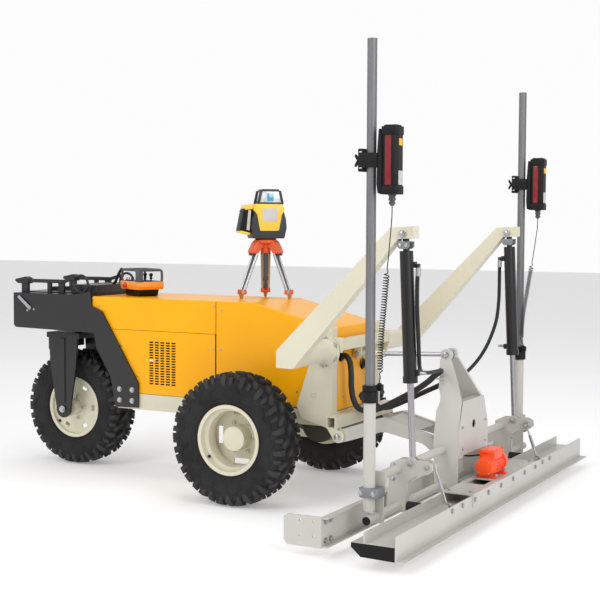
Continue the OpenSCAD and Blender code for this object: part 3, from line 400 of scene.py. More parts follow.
def smooth_path(points, step):
    """Catmull-Rom curve through points, cut into pieces of about one step."""
    p = [Vector(q) for q in points]
    out = []
    for i in range(len(p) - 1):
        p0, p1, p2, p3 = p[max(i - 1, 0)], p[i], p[i + 1], p[min(i + 2, len(p) - 1)]
        count = max(2, int((p2 - p1).length / step))
        for k in range(count):
            t = k / count
            out.append(0.5 * ((2 * p1) + (p2 - p0) * t + (2 * p0 - 5 * p1 + 4 * p2 - p3) * t * t
                              + (3 * p1 - p0 - 3 * p2 + p3) * t ** 3))
    out.append(p[-1])
    return out


def add_tube(bm, points, radius, sides=12, caps=True):
    """Sweeps a circle along points; radius may be a function of the point's number."""
    part = bmesh.new()
    side = None
    rings = []
    count = len(points)
    for i, p in enumerate(points):
        ahead = (points[min(i + 1, count - 1)] - points[max(i - 1, 0)]).normalized()
        if side is None:
            seed = Vector((0, 1, 0)) if abs(ahead.y) < 0.8 else Vector((1, 0, 0))
            side = ahead.cross(seed).normalized()
        side = (side - ahead * side.dot(ahead)).normalized()
        other = ahead.cross(side)
        r = radius(i) if callable(radius) else radius
        rings.append([part.verts.new(p + r * (math.cos(2 * math.pi * k / sides) * side
                                              + math.sin(2 * math.pi * k / sides) * other))
                      for k in range(sides)])
    bridge(part, rings)
    if caps:
        cap_ends(part, rings)
    join(bm, part)


def add_weld(bm, centre, axis, radius, bead):
    """Weld bead round a tube: a torus with a rippled surface."""
    turn = Matrix.Translation(centre) @ frame_of(axis)
    count = 72
    angles = [2 * math.pi * k / count for k in range(count + 1)]
    points = [turn @ Vector((radius * math.cos(a), radius * math.sin(a), 0)) for a in angles]
    add_tube(bm, points, lambda i: bead * (1 + 0.16 * math.sin(i * 1.9)), 8)


# -------- pieces

SHARP_DEGREES = 38      # edges sharper than this keep their crease


def piece(name, bm, material, body, replaces=(), scaled=True):
    """Turns a mesh in millimetre stations into a piece that rides on a CAD body."""
    if scaled:
        for v in bm.verts:
            v.co = place(v.co)
    mesh = bpy.data.meshes.new(name)
    bm.to_mesh(mesh)
    bm.free()
    mesh.shade_smooth()
    mesh.set_sharp_from_angle(angle=math.radians(SHARP_DEGREES))
    mesh.materials.append(material)
    obj = add_object(name, mesh)
    if body:
        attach(obj, body)
    if replaces:
        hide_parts(*replaces)
    return obj


def soften(node, material, body, width=1.5, segments=2, drop=None):
    """A copy of a CAD node with rounded edges; drop tells faces to leave out by their middle."""
    bm = bmesh.new()
    bm.from_mesh(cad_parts[node].data)
    if drop:
        gone = [f for f in bm.faces if drop(station(f.calc_center_median()))]
        bmesh.ops.delete(bm, geom=gone, context="FACES")
    bmesh.ops.remove_doubles(bm, verts=bm.verts, dist=1e-5)
    bmesh.ops.dissolve_limit(bm, angle_limit=math.radians(0.8), verts=bm.verts, edges=bm.edges)
    round_edges(bm, width * MM, segments, 30, False)
    obj = piece(node + "_finished", bm, material, body, (node,), scaled=False)
    weigh = obj.modifiers.new("weights", "WEIGHTED_NORMAL")
    weigh.keep_sharp = True


# -------- cords
# The routes repeat those of part.scad, in millimetre stations.

SLEEVE_A = [[392, -150, 700], [402, -150, 700], [412, -150, 699], [431, -150, 672],
            [438, -149, 610], [438, -146, 550], [446, -138, 490], [470, -125, 445],
            [515, -105, 436], [570, -88, 452], [650, -80, 495], [740, -86, 545],
            [810, -96, 592], [850, -104, 626], [886, -108, 654]]
SLEEVE_B = [[392, 90, 640], [402, 90, 640], [412, 90, 639], [431, 88, 612], [444, 78, 540],
            [456, 66, 478], [482, 52, 440], [530, 44, 432], [590, 38, 452], [670, 34, 490],
            [750, 30, 530], [812, 28, 560], [848, 28, 580]]
NEAR_BRANCH = [[894, -122, 655], [900, -150, 660], [912, -220, 664], [926, -320, 670],
               [942, -430, 680], [962, -530, 696], [985, -605, 726], [1000, -648, 776],
               [1003, -663, 850], [999, -665, 930], [996, -665, 1010], [996, -665, 1090],
               [999, -665, 1135], [1001, -665, 1168]]
FAR_BRANCH = [[852, 66, 600], [846, 130, 585], [850, 250, 590], [858, 380, 625],
              [866, 500, 680], [874, 590, 750], [886, 645, 840], [892, 662, 940],
              [893, 665, 1040], [893, 665, 1168]]
MOTOR_CABLE = [[1067, -20, 258], [1058, -20, 258], [1046, -22, 257], [1028, -27, 254],
               [1008, -34, 251], [990, -42, 251], [974, -50, 255], [962, -56, 263],
               [955, -60, 275]]
NEAR_LEAD = [[1004, -947, 1405], [1003, -946, 1360], [998, -944, 1310], [992, -942, 1250],
             [986, -939, 1200], [980, -936, 1160]]
NEAR_COIL = [[980, -936, 1160], [974, -932, 1110], [966, -926, 1050], [958, -920, 990],
             [950, -914, 930], [944, -910, 870], [940, -907, 810], [938, -905, 760],
             [938, -904, 708]]
FAR_LEAD = [[1004, 947, 1367], [1003, 946, 1320], [998, 944, 1280], [992, 942, 1230],
            [986, 939, 1180], [980, 936, 1140]]
FAR_COIL = [[980, 936, 1140], [974, 932, 1090], [966, 926, 1030], [958, 920, 970],
            [950, 914, 910], [944, 910, 860], [940, 907, 810], [938, 905, 760],
            [938, 904, 708]]
TAIL = [[938, 904, 708], [940, 911, 702], [943, 919, 694], [943, 920, 685]]

HOSE_PITCH = 9.0        # spacing of the ridges on a wrapped sleeve


def path_length(points):
    return sum((b - a).length for a, b in zip(points, points[1:])) * MM


def make_hose(name, route, diameter, wrapped, node="hoses"):
    """A hose that runs between two bodies, swept along its route; a wrapped one gets ridges."""
    points = smooth_path(route, 3.0 if wrapped else 8.0)
    radius = diameter / 2

    def ridge(i):
        return radius - 0.9 + 0.9 * math.sin(2 * math.pi * i * 3.0 / HOSE_PITCH)

    bm = bmesh.new()
    add_tube(bm, points, ridge if wrapped else radius, 20)
    hose = piece(name, bm, SLEEVE if wrapped else RUBBER, None, (node,))
    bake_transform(hose)


make_hose("main_hose_sleeve", SLEEVE_A, 30, True)
make_hose("valve_hose_sleeve", SLEEVE_B, 26, True)
make_hose("near_cylinder_hose", NEAR_BRANCH, 18, False)
make_hose("far_cylinder_hose", FAR_BRANCH, 18, False)
make_hose("vibrator_cable", MOTOR_CABLE, 8.8, False,
          "motor_cable")

WIRE_D = 4.5            # diameter of the receiver lead
COIL_R = 10.4           # radius of the curly lead's centre line
COIL_PITCH = 11.0       # spacing of its turns, stretched
COIL_RUN_IN = 36.0      # stretch over which the wire opens out into its turns


def make_curly_lead(name, lead, coil, tail, node):
    """Thin lead from the receiver, a stretched helix and a short tail to the stop ring."""
    axis = smooth_path(coil, 0.5)
    total = path_length(axis) / MM
    helix, along, turn = [], 0.0, 0.0
    for i, centre in enumerate(axis):
        ahead = (axis[min(i + 1, len(axis) - 1)] - axis[max(i - 1, 0)]).normalized()
        if i:
            along += (centre - axis[i - 1]).length
        t = min(1.0, min(along, total - along) / COIL_RUN_IN)
        ease = t * t * (3 - 2 * t)
        turn += 2 * math.pi / COIL_PITCH * ease ** 3 * (total / len(axis))
        side = ahead.cross(Vector((0, 1, 0))).normalized()
        other = ahead.cross(side)
        helix.append(centre + COIL_R * ease * (math.cos(turn) * side + math.sin(turn) * other))
    points = smooth_path(lead, 8.0)[:-1] + helix + smooth_path(tail, 4.0)[1:]
    bm = bmesh.new()
    add_tube(bm, points, WIRE_D / 2, 8)
    wire = piece(name, bm, RUBBER, None, (node,))
    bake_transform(wire)


make_curly_lead("near_receiver_lead", NEAR_LEAD, NEAR_COIL, [(x, -y, z) for x, y, z in TAIL],
                "near_cable")
make_curly_lead("far_receiver_lead", FAR_LEAD, FAR_COIL, TAIL,
                "far_cable")

# -------- wheels

TYRE_R = 317.5          # radius over the tread blocks
TRACK = 495.0           # distance of a drive wheel's middle from the centre plane
REAR_X = -1310.0        # station of the rear axle
WHEELS = (("near", (0, -TRACK, TYRE_R)), ("far", (0, TRACK, TYRE_R)),
          ("rear", (REAR_X, 0, TYRE_R)))
CARCASS = [(157, 44), (158, 66), (171, 69), (184, 82), (206, 91), (236, 95), (262, 94), (280, 88),
           (291, 76), (296, 58), (298, 30), (298.5, 0)]
LUGS = 18
# Tread rows: crown points and foot points (across, radius), half lengths, slant and offset
TREAD_ROWS = [
    ([(7, 317.2), (40, 316.8)], [(7, 287), (40, 287)], [15, 12], -0.75, 0.0),
    ([(48, 316), (76, 311)], [(46, 286), (74, 279)], [11, 15], -0.75, 0.46),
    ([(70, 312.5), (86, 303), (96, 286), (98, 262)], [(64, 284), (75, 277), (83, 266), (86, 250)],
     [12, 14, 14, 9], -0.35, -0.04),
    ([(84, 304), (95, 289), (97.5, 274)], [(74, 278), (83, 268), (86, 260)], [9, 11, 8], -0.3, 0.5)]


def wheel_point(angle, across, radius):
    """Point of a wheel whose axle is Y; across is measured from its middle."""
    return Vector((radius * math.cos(angle), across, radius * math.sin(angle)))


def add_lug(bm, angle, side, top, foot, half, slant):
    """One tread block, swept from the crown over the shoulder."""
    part = bmesh.new()
    rings = []
    for i, ((wt, rt), (wf, rf)) in enumerate(zip(top, foot)):
        a = angle + slant * (wt - top[0][0]) / TYRE_R
        ring = []
        for w, r, extra, sign in ((wt, rt, 0, -1), (wt, rt, 0, 1), (wf, rf, 3, 1), (wf, rf, 3, -1)):
            ring.append(part.verts.new(wheel_point(a + sign * (half[i] + extra) / TYRE_R,
                                                   side * w, r)))
        rings.append(ring)
    bridge(part, rings)
    cap_ends(part, rings)
    join(bm, part, 2.4)


def add_ridge(bm, side, radii, across, periods, thick):
    """Zigzag or plain moulded line round a sidewall."""
    count = periods * 12 if radii[0] != radii[1] else 120
    points = []
    for k in range(count + 1):
        wave = abs(2 * ((k * periods / count) % 1) - 1)
        r = radii[0] + (radii[1] - radii[0]) * wave
        points.append(wheel_point(2 * math.pi * k / count, side * across, r))
    add_tube(bm, points, thick, 8, caps=False)


def make_tyre(name, centre):
    body = name + "_wheel"
    bm = bmesh.new()
    curve = smooth_path([(r, w, 0) for r, w in CARCASS], 8.0)
    outer = [(p.x, p.y) for p in curve]
    profile = outer + [(r, -w) for r, w in reversed(outer[:-1])]
    add_lathe(bm, profile, axis=(0, -1, 0), segments=120)
    add_lathe(bm, [(157, 66), (157, -66)], axis=(0, -1, 0), segments=120)
    for side in (-1, 1):
        add_ridge(bm, side, (232, 262), 94.2, LUGS, 3.4)
        add_ridge(bm, side, (214, 238), 92.4, LUGS, 2.4)
        add_ridge(bm, side, (196, 196), 87.5, 1, 1.6)
        add_ridge(bm, side, (182, 182), 79.8, 1, 2.0)
    bmesh.ops.translate(bm, vec=centre, verts=bm.verts)
    piece(body + "_carcass", bm, TYRE, body, (name + "_tyre",))
    bm = bmesh.new()
    pitch = 2 * math.pi / LUGS
    for side in (-1, 1):
        for top, foot, half, slant, offset in TREAD_ROWS:
            for k in range(LUGS):
                add_lug(bm, (k + offset + 0.25 * side) * pitch, side, top, foot, half, slant)
    bmesh.ops.translate(bm, vec=centre, verts=bm.verts)
    piece(body + "_tread", bm, TREAD, body)


for name, centre in WHEELS:
    make_tyre(name, centre)
for name, centre in WHEELS:
    soften(name + "_rim", CREAM, name + "_wheel", 1.2)


def make_wheel_trim():
    """Rolled rim edges, valves, hub plates and cap screws."""
    for name, centre in WHEELS:
        body = name + "_wheel"
        out = 1 if name == "far" else -1
        c = Vector(centre)
        bm = bmesh.new()
        for side in (-1, 1):
            for r, w, thick in ((165, 72.5, 3.2), (149, 50, 1.6)):
                points = [c + wheel_point(2 * math.pi * k / 96, side * w, r) for k in range(97)]
                add_tube(bm, points, thick, 10, caps=False)
        piece(name + "_rim_beads", bm, CREAM, body)
        bm = bmesh.new()
        a = math.radians(218)
        foot = c + wheel_point(a, out * 52, 145)
        tip = c + wheel_point(a, out * 78, 132)
        add_rod(bm, foot, tip, 4.2, 16)
        add_rod(bm, foot, foot + (tip - foot) * 0.35, 7.5, 16)
        piece(name + "_valve", bm, RUBBER, body)
        if name == "rear":
            continue
        bm = bmesh.new()
        face = c + Vector((0, out * 24, 0))
        axis = (0, out, 0)
        add_lathe(bm, [(0, 1.2), (46, 1.2), (49, 0.2), (52, 0.2)], face, axis, 64)
        for k in range(2):
            b = math.radians(55 + 180 * k)
            add_screw(bm, face + Vector((38 * math.cos(b), out * 1.2, 38 * math.sin(b))), axis, 2.2)
        piece(name + "_hub_face", bm, CREAM, body)
        bm = bmesh.new()
        for k in range(6):
            b = math.radians(60 * k)
            add_bolt(bm, c + Vector((78 * math.cos(b), out * -40, 78 * math.sin(b))), axis, 8, False)
        piece(name + "_stud_ends", bm, STEEL, body)


make_wheel_trim()

# -------- bonnet

HOOD_HALF = 246.0
HOOD_TOP = 948.0
HOOD_REAR, HOOD_SEAM, HOOD_CREASE, HOOD_FRONT = -1046.0, -272.0, -54.0, 383.0
HOOD_FRONT_Z = 841.0
SKIN = 3.0


def make_shell(name, outline, rounding, node):
    """Folded sheet cover, open below: outline in X and Z from one lower edge over the top."""
    bm = bmesh.new()
    near = [bm.verts.new((x, -HOOD_HALF, z)) for x, z in outline]
    far = [bm.verts.new((x, HOOD_HALF, z)) for x, z in outline]
    bm.faces.new(near)
    bm.faces.new(far[::-1])
    for i in range(len(outline) - 1):
        bm.faces.new((near[i + 1], near[i], far[i], far[i + 1]))
    bmesh.ops.recalc_face_normals(bm, faces=bm.faces)
    edges = sharp_edges(bm, 30)
    bmesh.ops.bevel(bm, geom=edges, offset=rounding, segments=5, profile=0.5, affect="EDGES")
    obj = piece(name, bm, YELLOW, "root", (node,))
    solid = obj.modifiers.new("sheet", "SOLIDIFY")
    solid.thickness = SKIN * MM
    solid.offset = -1
    weigh = obj.modifiers.new("weights", "WEIGHTED_NORMAL")
    weigh.keep_sharp = True


make_shell("rear_cover", [(HOOD_SEAM - 1.5, 782), (HOOD_SEAM - 1.5, HOOD_TOP),
                          (HOOD_REAR, HOOD_TOP), (HOOD_REAR, 782)], 7.0, "rear_hood")
make_shell("front_cover", [(HOOD_FRONT, 438), (HOOD_FRONT, HOOD_FRONT_Z),
                           (HOOD_CREASE, HOOD_TOP), (HOOD_SEAM + 1.5, HOOD_TOP),
                           (HOOD_SEAM + 1.5, 452)], 7.0, "front_hood")
soften("side_panels", YELLOW, "root", 0.7, 1)

HOOD_SCREWS = [(-1040, 935), (-1000, 900), (-854, 697), (-751, 544), (-282, 922), (-235, 901),
               (-288, 705), (-242, 704), (193, 525)]


def make_bonnet_trim():
    bm = bmesh.new()
    for side in (-1, 1):
        for x, z in HOOD_SCREWS:
            add_screw(bm, (x, side * HOOD_HALF, z), (0, side, 0), 4.6)
        for x in (-180, 60, 300):
            add_screw(bm, (x, side * HOOD_HALF, 470), (0, side, 0), 4.0)
    for y, z in ((-215, 800), (-120, 500), (-60, 470), (215, 800), (215, 500)):
        add_screw(bm, (HOOD_FRONT, y, z), FRONT, 4.0)
    piece("bonnet_screws", bm, STEEL, "root")
    bm = bmesh.new()
    for y, z in ((-150, 700), (90, 640)):
        add_lathe(bm, [(12, 9), (23, 9), (24, 7), (24, 0), (30, 0), (30, -2)], (HOOD_FRONT, y, z),
                  FRONT, 40)
        for dy, dz in quarters(27):
            add_screw(bm, (HOOD_FRONT + 1, y + dy, z + dz), FRONT, 2.2)
    piece("bulkhead_fittings", bm, BLACK_PLASTIC, "root")


make_bonnet_trim()

# -------- carried-over shapes

# Body, material, slot, rounding of the edges and the nodes
FINISHES = (
    ("root", CREAM, "cream_paint", 2.0, "chassis"),
    ("root", CREAM, "cream_paint", 1.5, "towers hitch_beam top_link_beam"),
    ("root", CREAM, "cream_paint", 2.0, "near_lift_arm far_lift_arm"),
    ("root", BARREL, "black_paint", 1.2, "near_barrel far_barrel"),
    ("root", BLACK, "black_paint", 1.8, "weight_box"),
    ("root", CAST, "cast", 4.0, "counterweight"),
    ("root", BLACK, "black_paint", 2.0, "handle_frame"),
    ("root", CAST, "cast", 3.0, "engine"),
    ("root", TANK, "tank_paint", 3.0, "tanks"),
    ("root", CAST, "cast", 1.5, "drive_motors"),
    ("fan", BLACK_PLASTIC, "black_plastic", 0.6, "cooling_fan"),
    ("lid", BLACK, "black_paint", 1.2, "box_lid"),
    ("latch", STEEL, "steel", 1.0, "box_latch"),
    ("fork", BLACK, "black_paint", 2.0, "rear_fork"),
    ("head", PALE, "head_paint", 0.5, "pipe_frame"),
    ("head", PALE, "head_paint", 1.5, "a_frame"),
    ("head", PALE, "head_paint", 1.0, "plough"),
    ("head", CHROME, "chrome", 1.0, "near_ram far_ram"),
    ("head", STEEL, "steel", 0.6, "tie_rods"),
    ("drawbar", PALE, "cream_paint", 1.8, "drawbar"),
    ("top_link", CREAM, "cream_paint", 1.2, "top_link_tube"),
    ("top_link_slider", STEEL, "steel", 1.0, "top_link_rod"),
    ("screed", PALE, "head_paint", 1.0, "screed_plate"),
    ("screed", RUBBER, "rubber", 2.0, "rubber_mounts"),
    ("rotor", STEEL, "steel", 1.0, "vibrator_rotor"),
    ("tripod", ALLOY, "alu", 1.0, "tripod_legs"),
    ("laser_head", TUBE, "alu", 1.0, "laser_rotor"))

for body, material, slot, width, nodes in FINISHES:
    for node in nodes.split():
        soften(node, material, body, width)

# -------- masts

MAST = (912.0, 947.0)       # station of a mast and its distance from the centre plane
BLOCK_OUTLINE = [(878, 905), (964, 905), (964, 972), (956, 981), (886, 981), (878, 972)]
BLOCK_LOW, BLOCK_TOP = 222, 262
MAST_TOPS = {"near": 2075.0, "far": 2040.0}


def beside_mast(side, radius, low, high):
    """Test for faces outside a radius about a mast, between two heights."""
    def test(p):
        away = math.hypot(p.x - MAST[0], p.y - side * MAST[1])
        return low < p.z < high and away > radius
    return test


def make_masts():
    for name, side in SIDES:
        at = Vector((MAST[0], side * MAST[1], 0))
        block = beside_mast(side, 25.6, BLOCK_LOW - 1, BLOCK_TOP + 1)
        collar = beside_mast(side, 25.6, 600, 660)
        ring = beside_mast(side, 20.6, 650, 700)
        soften(name + "_mast", PALE, "head", 1.2,
               drop=lambda p: block(p) or collar(p))
        bm = bmesh.new()
        outline = [(x, side * y) for x, y in BLOCK_OUTLINE]
        add_prism(bm, outline, BLOCK_LOW, BLOCK_TOP, 2.5, "z")
        piece(name + "_mast_clamp", bm, ZINC, "head")
        bm = bmesh.new()
        for x in (890, 946):
            add_bolt(bm, (x, side * 981, (BLOCK_LOW + BLOCK_TOP) / 2), (0, side, 0), 10)
        add_weld(bm, at + Vector((0, 0, 163)), UP, 26, 2.6)
        piece(name + "_clamp_bolts", bm, STEEL, "head")
        bm = bmesh.new()
        add_lathe(bm, [(25.2, 610), (33, 610), (34.4, 612), (34.4, 652), (33, 655), (20.6, 655)],
                  at, segments=64)
        add_box(bm, (at.x - 41, at.y - 9, 618), (at.x - 30, at.y + 9, 650), 2)
        add_rod(bm, at + Vector((-48, 0, 634)), at + Vector((-40, 0, 634)), 8, 24)
        piece(name + "_mast_collar", bm, BLACK_PLASTIC, "head")
        slide = name + "_slide"
        soften(name + "_mast_tube", TUBE, slide, 0.8, drop=ring)
        bm = bmesh.new()
        add_lathe(bm, [(20.3, 656), (29, 656), (31, 658), (31, 678), (29, 680), (20.3, 680)],
                  at, segments=64)
        add_box(bm, (932, side * 921.5 - 11, 656.5), (957, side * 921.5 + 13, 683), 3)
        add_lathe(bm, [(9, 683), (9, 686), (6, 688)], (943, side * 920, 0), segments=24)
        piece(name + "_stop_ring", bm, BLACK_PLASTIC, slide)
        bm = bmesh.new()
        top = MAST_TOPS[name]
        add_lathe(bm, [(17, top - 3), (19.6, top - 2), (19.6, top - 0.4), (0, top - 0.2)],
                  at, segments=48)
        piece(name + "_mast_cap", bm, BLACK_PLASTIC, slide)


make_masts()

# -------- laser receivers

RECEIVER_X = 1004.0
RECEIVER_Z = {"near": 1590.0, "far": 1552.0}
CLAMP_OUTLINE = [(-138, -46), (-116, -46), (-112, -30), (-54, -28), (-54, 28), (-112, 30),
                 (-116, 46), (-138, 46)]
BRACKET_OUTLINE = [(-54, -132), (-38, -138), (-34, -96), (-34, 96), (-42, 122), (-50, 124),
                   (-56, 40), (-58, -96)]
WING_OUTLINE = [(-166, -26), (-158, -24), (-148, -6), (-148, 6), (-158, 24), (-166, 26),
                (-165, 14), (-156, 0), (-165, -14)]
PLUG_PROFILE = [(16, -136), (16, -143), (13, -146), (13, -152), (15, -154), (15, -160),
                (11, -163), (11, -168), (13.5, -170), (13.5, -175), (9, -179), (6, -184),
                (0, -184)]


def turned(bm, at, degrees=0):
    """Turns a local mesh about Z and moves it to its station."""
    matrix = Matrix.Translation(at) @ Matrix.Rotation(math.radians(degrees), 4, "Z")
    bmesh.ops.transform(bm, matrix=matrix, verts=bm.verts)
    return bm


def octagon(half, cut):
    """Corners of a square with cut corners."""
    h, c = half, half - cut
    return [(h, -c), (h, c), (c, h), (-c, h), (-h, c), (-h, -c), (-c, -h), (c, -h)]


def make_receiver(name, side):
    """Receiver in its own coordinates: middle of the body, window on -Y and +Y, label on +X."""
    body = name + "_laser_receiver"
    at = (RECEIVER_X, side * MAST[1], RECEIVER_Z[name])

    def part(label, material, replaces=()):
        piece(body + label, turned(bm, at), material, body, replaces)

    bm = bmesh.new()
    add_prism(bm, octagon(35, 12), -110, 104, 1.5, "z")
    for low, high in ((-138, -104), (98, 132)):
        add_prism(bm, octagon(38, 12), low, high, 3, "z")
    add_prism(bm, octagon(30, 10), 128, 138, 3, "z")
    add_prism(bm, BRACKET_OUTLINE, -27, 27, 3)
    add_prism(bm, CLAMP_OUTLINE, -31, 31, 2)
    part("_shell", BLACK_PLASTIC, (name + "_receiver",))
    bm = bmesh.new()
    for y in (-35, 35):
        add_box(bm, (-17, y - 1.2, -100), (9, y + 1.2, 94), 1)
    part("_windows", RED_LENS)
    bm = bmesh.new()
    add_box(bm, (34, -20, -100), (35.8, 20, -44), 0.4)
    part("_label", LABEL)
    bm = bmesh.new()
    add_box(bm, (34, -16, 56), (35.8, 16, 84), 0.4)
    part("_patch", AMBER)
    bm = bmesh.new()
    add_lathe(bm, PLUG_PROFILE, segments=40)
    for x, y in quarters(26):
        add_screw(bm, (x, y, 138), UP, 2)
    part("_connector", GREY_PLASTIC)
    bm = bmesh.new()
    for z in (-32, 32):
        add_box(bm, (-133, -32, z - 2.5), (-120, -30, z + 2.5), 0.6)
    part("_clamp_plates", STEEL)
    bm = bmesh.new()
    add_rod(bm, (-154, 0, 0), (-128, 0, 0), 4.9, 24)
    add_rod(bm, (-152, 0, 0), (-143, 0, 0), 11, 32, 2)
    add_prism(bm, WING_OUTLINE, -5, 5, 2)
    piece(name + "_wing_screw", turned(bm, at), BLACK_PLASTIC, name + "_knob",
          (name + "_clamp_knob",))


for name, side in SIDES:
    make_receiver(name, side)

# -------- loose items on the bonnet


TRIPOD_AT = (-192, 115, 0)
LASER_AT = (TRIPOD_AT[0] + 11, TRIPOD_AT[1] + 10, 1254.5)
LASER_TURN = 43


def laser_piece(name, bm, material):
    """A piece of the transmitter: Z from its foot, the labelled front on -Y."""
    piece(name, turned(bm, LASER_AT, LASER_TURN), material, "tripod",
          ("laser_body",))


def make_transmitter():
    bm = bmesh.new()
    add_prism(bm, [(-97, 5), (71, 5), (83, 60), (79, 104), (66, 150), (-88, 150), (-101, 104),
                   (-105, 60)], -68, 68, 7)
    add_lathe(bm, [(0, 0), (52, 0), (55, 2), (55, 6), (0, 6)], (-15, 0, 0), segments=48)
    # Frame of the beam head: base ring, four corner posts and the roof
    add_prism(bm, [(-67, 180), (67, 180), (64, 192), (-64, 192)], -50, 50, 2)
    add_prism(bm, [(-50, 246), (50, 246), (45, 260), (-45, 260)], -47, 47, 4)
    for x, lean in ((-64, 14), (64, -14)):
        for y in (-50, 38):
            add_prism(bm, [(x - 7, 184), (x + 7, 184), (x + lean + 6, 252), (x + lean - 6, 252)],
                      y, y + 12, 2)
    laser_piece("transmitter_base", bm, DARK_SHELL)
    bm = bmesh.new()
    add_prism(bm, [(-60, 44), (40, 44), (56, 128), (70, 150), (66, 170), (54, 183), (-78, 183),
                   (-92, 168), (-92, 150), (-76, 128)], -72, 72, 6)
    add_prism(bm, [(-138, 150), (-92, 156), (-86, 183), (-136, 177)], -52, 52, 5)
    add_prism(bm, [(-163, 36), (-110, 24), (-108, 34), (-160, 46)], -53, 53, 2)
    laser_piece("transmitter_cover", bm, LASER_YELLOW)
    bm = bmesh.new()
    add_prism(bm, [(-164, 44), (-104, 32), (-96, 158), (-140, 160)], -51, 51, 5)
    for k in range(7):
        z = 58 + 14 * k
        add_box(bm, (-158 + 0.16 * (z - 58), -53, z), (-132 + 0.1 * (z - 58), 53, z + 6), 1)
    laser_piece("battery_pack", bm, BLACK_PLASTIC)
    bm = bmesh.new()
    add_prism(bm, [(-128, 50), (-112, 46), (-104, 150), (-118, 152)], -53.5, 53.5, 1)
    add_box(bm, (-48, -73.6, 92), (30, -71, 160), 1)
    laser_piece("transmitter_labels", bm, LABEL)
    bm = bmesh.new()
    add_prism(bm, [(-56, 190), (56, 190), (43, 248), (-43, 248)], -46.5, 46.5, 1)
    laser_piece("beam_windows", bm, CLEAR_LENS)
    bm = bmesh.new()
    for y in (-48.5, 46):
        add_box(bm, (-18, y, 198), (16, y + 2.5, 238), 1)
    laser_piece("prism_shade", bm, BLUE_LENS)


def make_tripod():
    bm = bmesh.new()
    add_lathe(bm, [(0, 1254), (58, 1254), (62, 1251), (62, 1238), (52, 1232), (30, 1226),
                   (24, 1184), (0, 1184)], segments=48)
    for k in range(3):
        arm = bmesh.new()
        add_prism(arm, [(24, 1246), (60, 1248), (70, 1238), (92, 1196), (92, 1182), (58, 1181),
                        (40, 1206), (24, 1214)], -27, 27, 4)
        add_prism(arm, [(126, -26), (156, -22), (156, 22), (126, 26)], 971, 996, 3, "z")
        merge(bm, turned(arm, (0, 0, 0), 120 * k))
    piece("tripod_orange_parts", turned(bm, TRIPOD_AT), TRIPOD_ORANGE, "tripod",
          ("tripod_head",))
    bm = bmesh.new()
    add_rod(bm, (0, 0, 1050), (0, 0, 1184), 12, 24)
    add_rod(bm, (0, 0, 1040), (0, 0, 1062), 17, 6, 3)
    for k in range(3):
        spin = Matrix.Rotation(math.radians(120 * k), 3, "Z")
        add_rod(bm, spin @ Vector((139, 0, 968)), spin @ Vector((64, 0, 1186)), 8, 16)
        add_rod(bm, spin @ Vector((80, 0, 1178)), spin @ Vector((98, 0, 1178)), 7, 20)
    piece("tripod_inner_legs", turned(bm, TRIPOD_AT), GREY_PLASTIC, "tripod")


make_transmitter()
make_tripod()

REMOTE_AT = (-862, -50, 948.5)
REMOTE_TURN = -28.2
STICKS = (("near", -10), ("far", 60))


def remote_piece(name, bm, material, body="remote", replaces=()):
    """A piece of the remote control: Z from the bonnet, the stop button on -Y."""
    piece(name, turned(bm, REMOTE_AT, REMOTE_TURN), material, body, replaces)


def make_remote():
    bm = bmesh.new()
    add_prism(bm, [(-78, 0), (78, 0), (92, 38), (-92, 38)], -56, 56, 5)
    add_box(bm, (-100, -66, 74), (100, 66, 81), 2)
    for x in (-90, -62, -34):
        add_rod(bm, (x, -46, 80), (x, -46, 84), 9, 24)
        add_rod(bm, (x, -46, 83), (x + 2, -46, 98), 2.6, 12)
    remote_piece("remote_base", bm, BLACK_PLASTIC)
    bm = bmesh.new()
    add_prism(bm, [(-100, 36), (100, 36), (111, 52), (111, 76), (106, 79), (-106, 79), (-111, 76),
                   (-111, 52)], -75, 75, 4)
    remote_piece("remote_case", bm, ORANGE, replaces=("remote_body",))
    bm = bmesh.new()
    rim = [Vector((x * 104, y * 70, 139)) for x, y in octagon(1, 0.22)]
    add_tube(bm, rim + [rim[0], rim[1]], 6.5, 12)
    for x, y in ((-100, -66), (-100, 66), (100, 66)):
        add_tube(bm, smooth_path([(x, y, 76), (x * 1.02, y * 1.03, 105), (x, y, 138)], 6), 6.5, 12)
    # Wide guard at the corner next to the button
    add_prism(bm, [(78, -77), (111, -77), (113, -74), (113, -48), (104, -48), (100, -66),
                   (78, -69)], 78, 143, 2.5, "z")
    remote_piece("remote_guard", bm, GREY_PLASTIC)
    bm = bmesh.new()
    add_lathe(bm, [(11.9, 10), (16, 11), (17, 6), (17, 0), (11.9, 0)], (-20, -75, 58), OUT, 40)
    remote_piece("stop_button_ring", bm, AMBER)
    bm = bmesh.new()
    add_lathe(bm, [(0, -18), (9.8, -18), (9.8, 6), (14, 8), (16, 12), (16, 17), (13, 21),
                   (0, 22)], (-20, -77, 58), OUT, 40)
    remote_piece("stop_button", bm, RED, "estop", ("estop_button",))
    for name, x in STICKS:
        bm = bmesh.new()
        bellows = [(6 + (1.8 if k % 2 else 0), 90.5 + 1.6 * k) for k in range(9)]
        add_lathe(bm, [(0, 90), (6, 90), *bellows, (4.5, 104), (0, 104)], (x, 24, 0), segments=32)
        add_lathe(bm, [(0, 75), (3.6, 75), (4.4, 104), (8, 106), (10.5, 112), (10, 118), (6, 122),
                       (0, 122.5)], (x, 24, 0), segments=32)
        remote_piece(name + "_stick", bm, BLACK_PLASTIC, name + "_stick",
                     (name + "_joystick",))
    bm = bmesh.new()
    strap = smooth_path([(-216, -66, 58), (-196, -68, 62), (-164, -70, 88), (-134, -70, 120),
                         (-106, -68, 142)], 6)
    add_tube(bm, strap, 8, 12)
    remote_piece("remote_strap", bm, RUBBER)


make_remote()

# -------- vibrator


FINS = 22
LID_CORNERS = [(x, y) for x in (1066, 1134) for y in (-70, 50)]


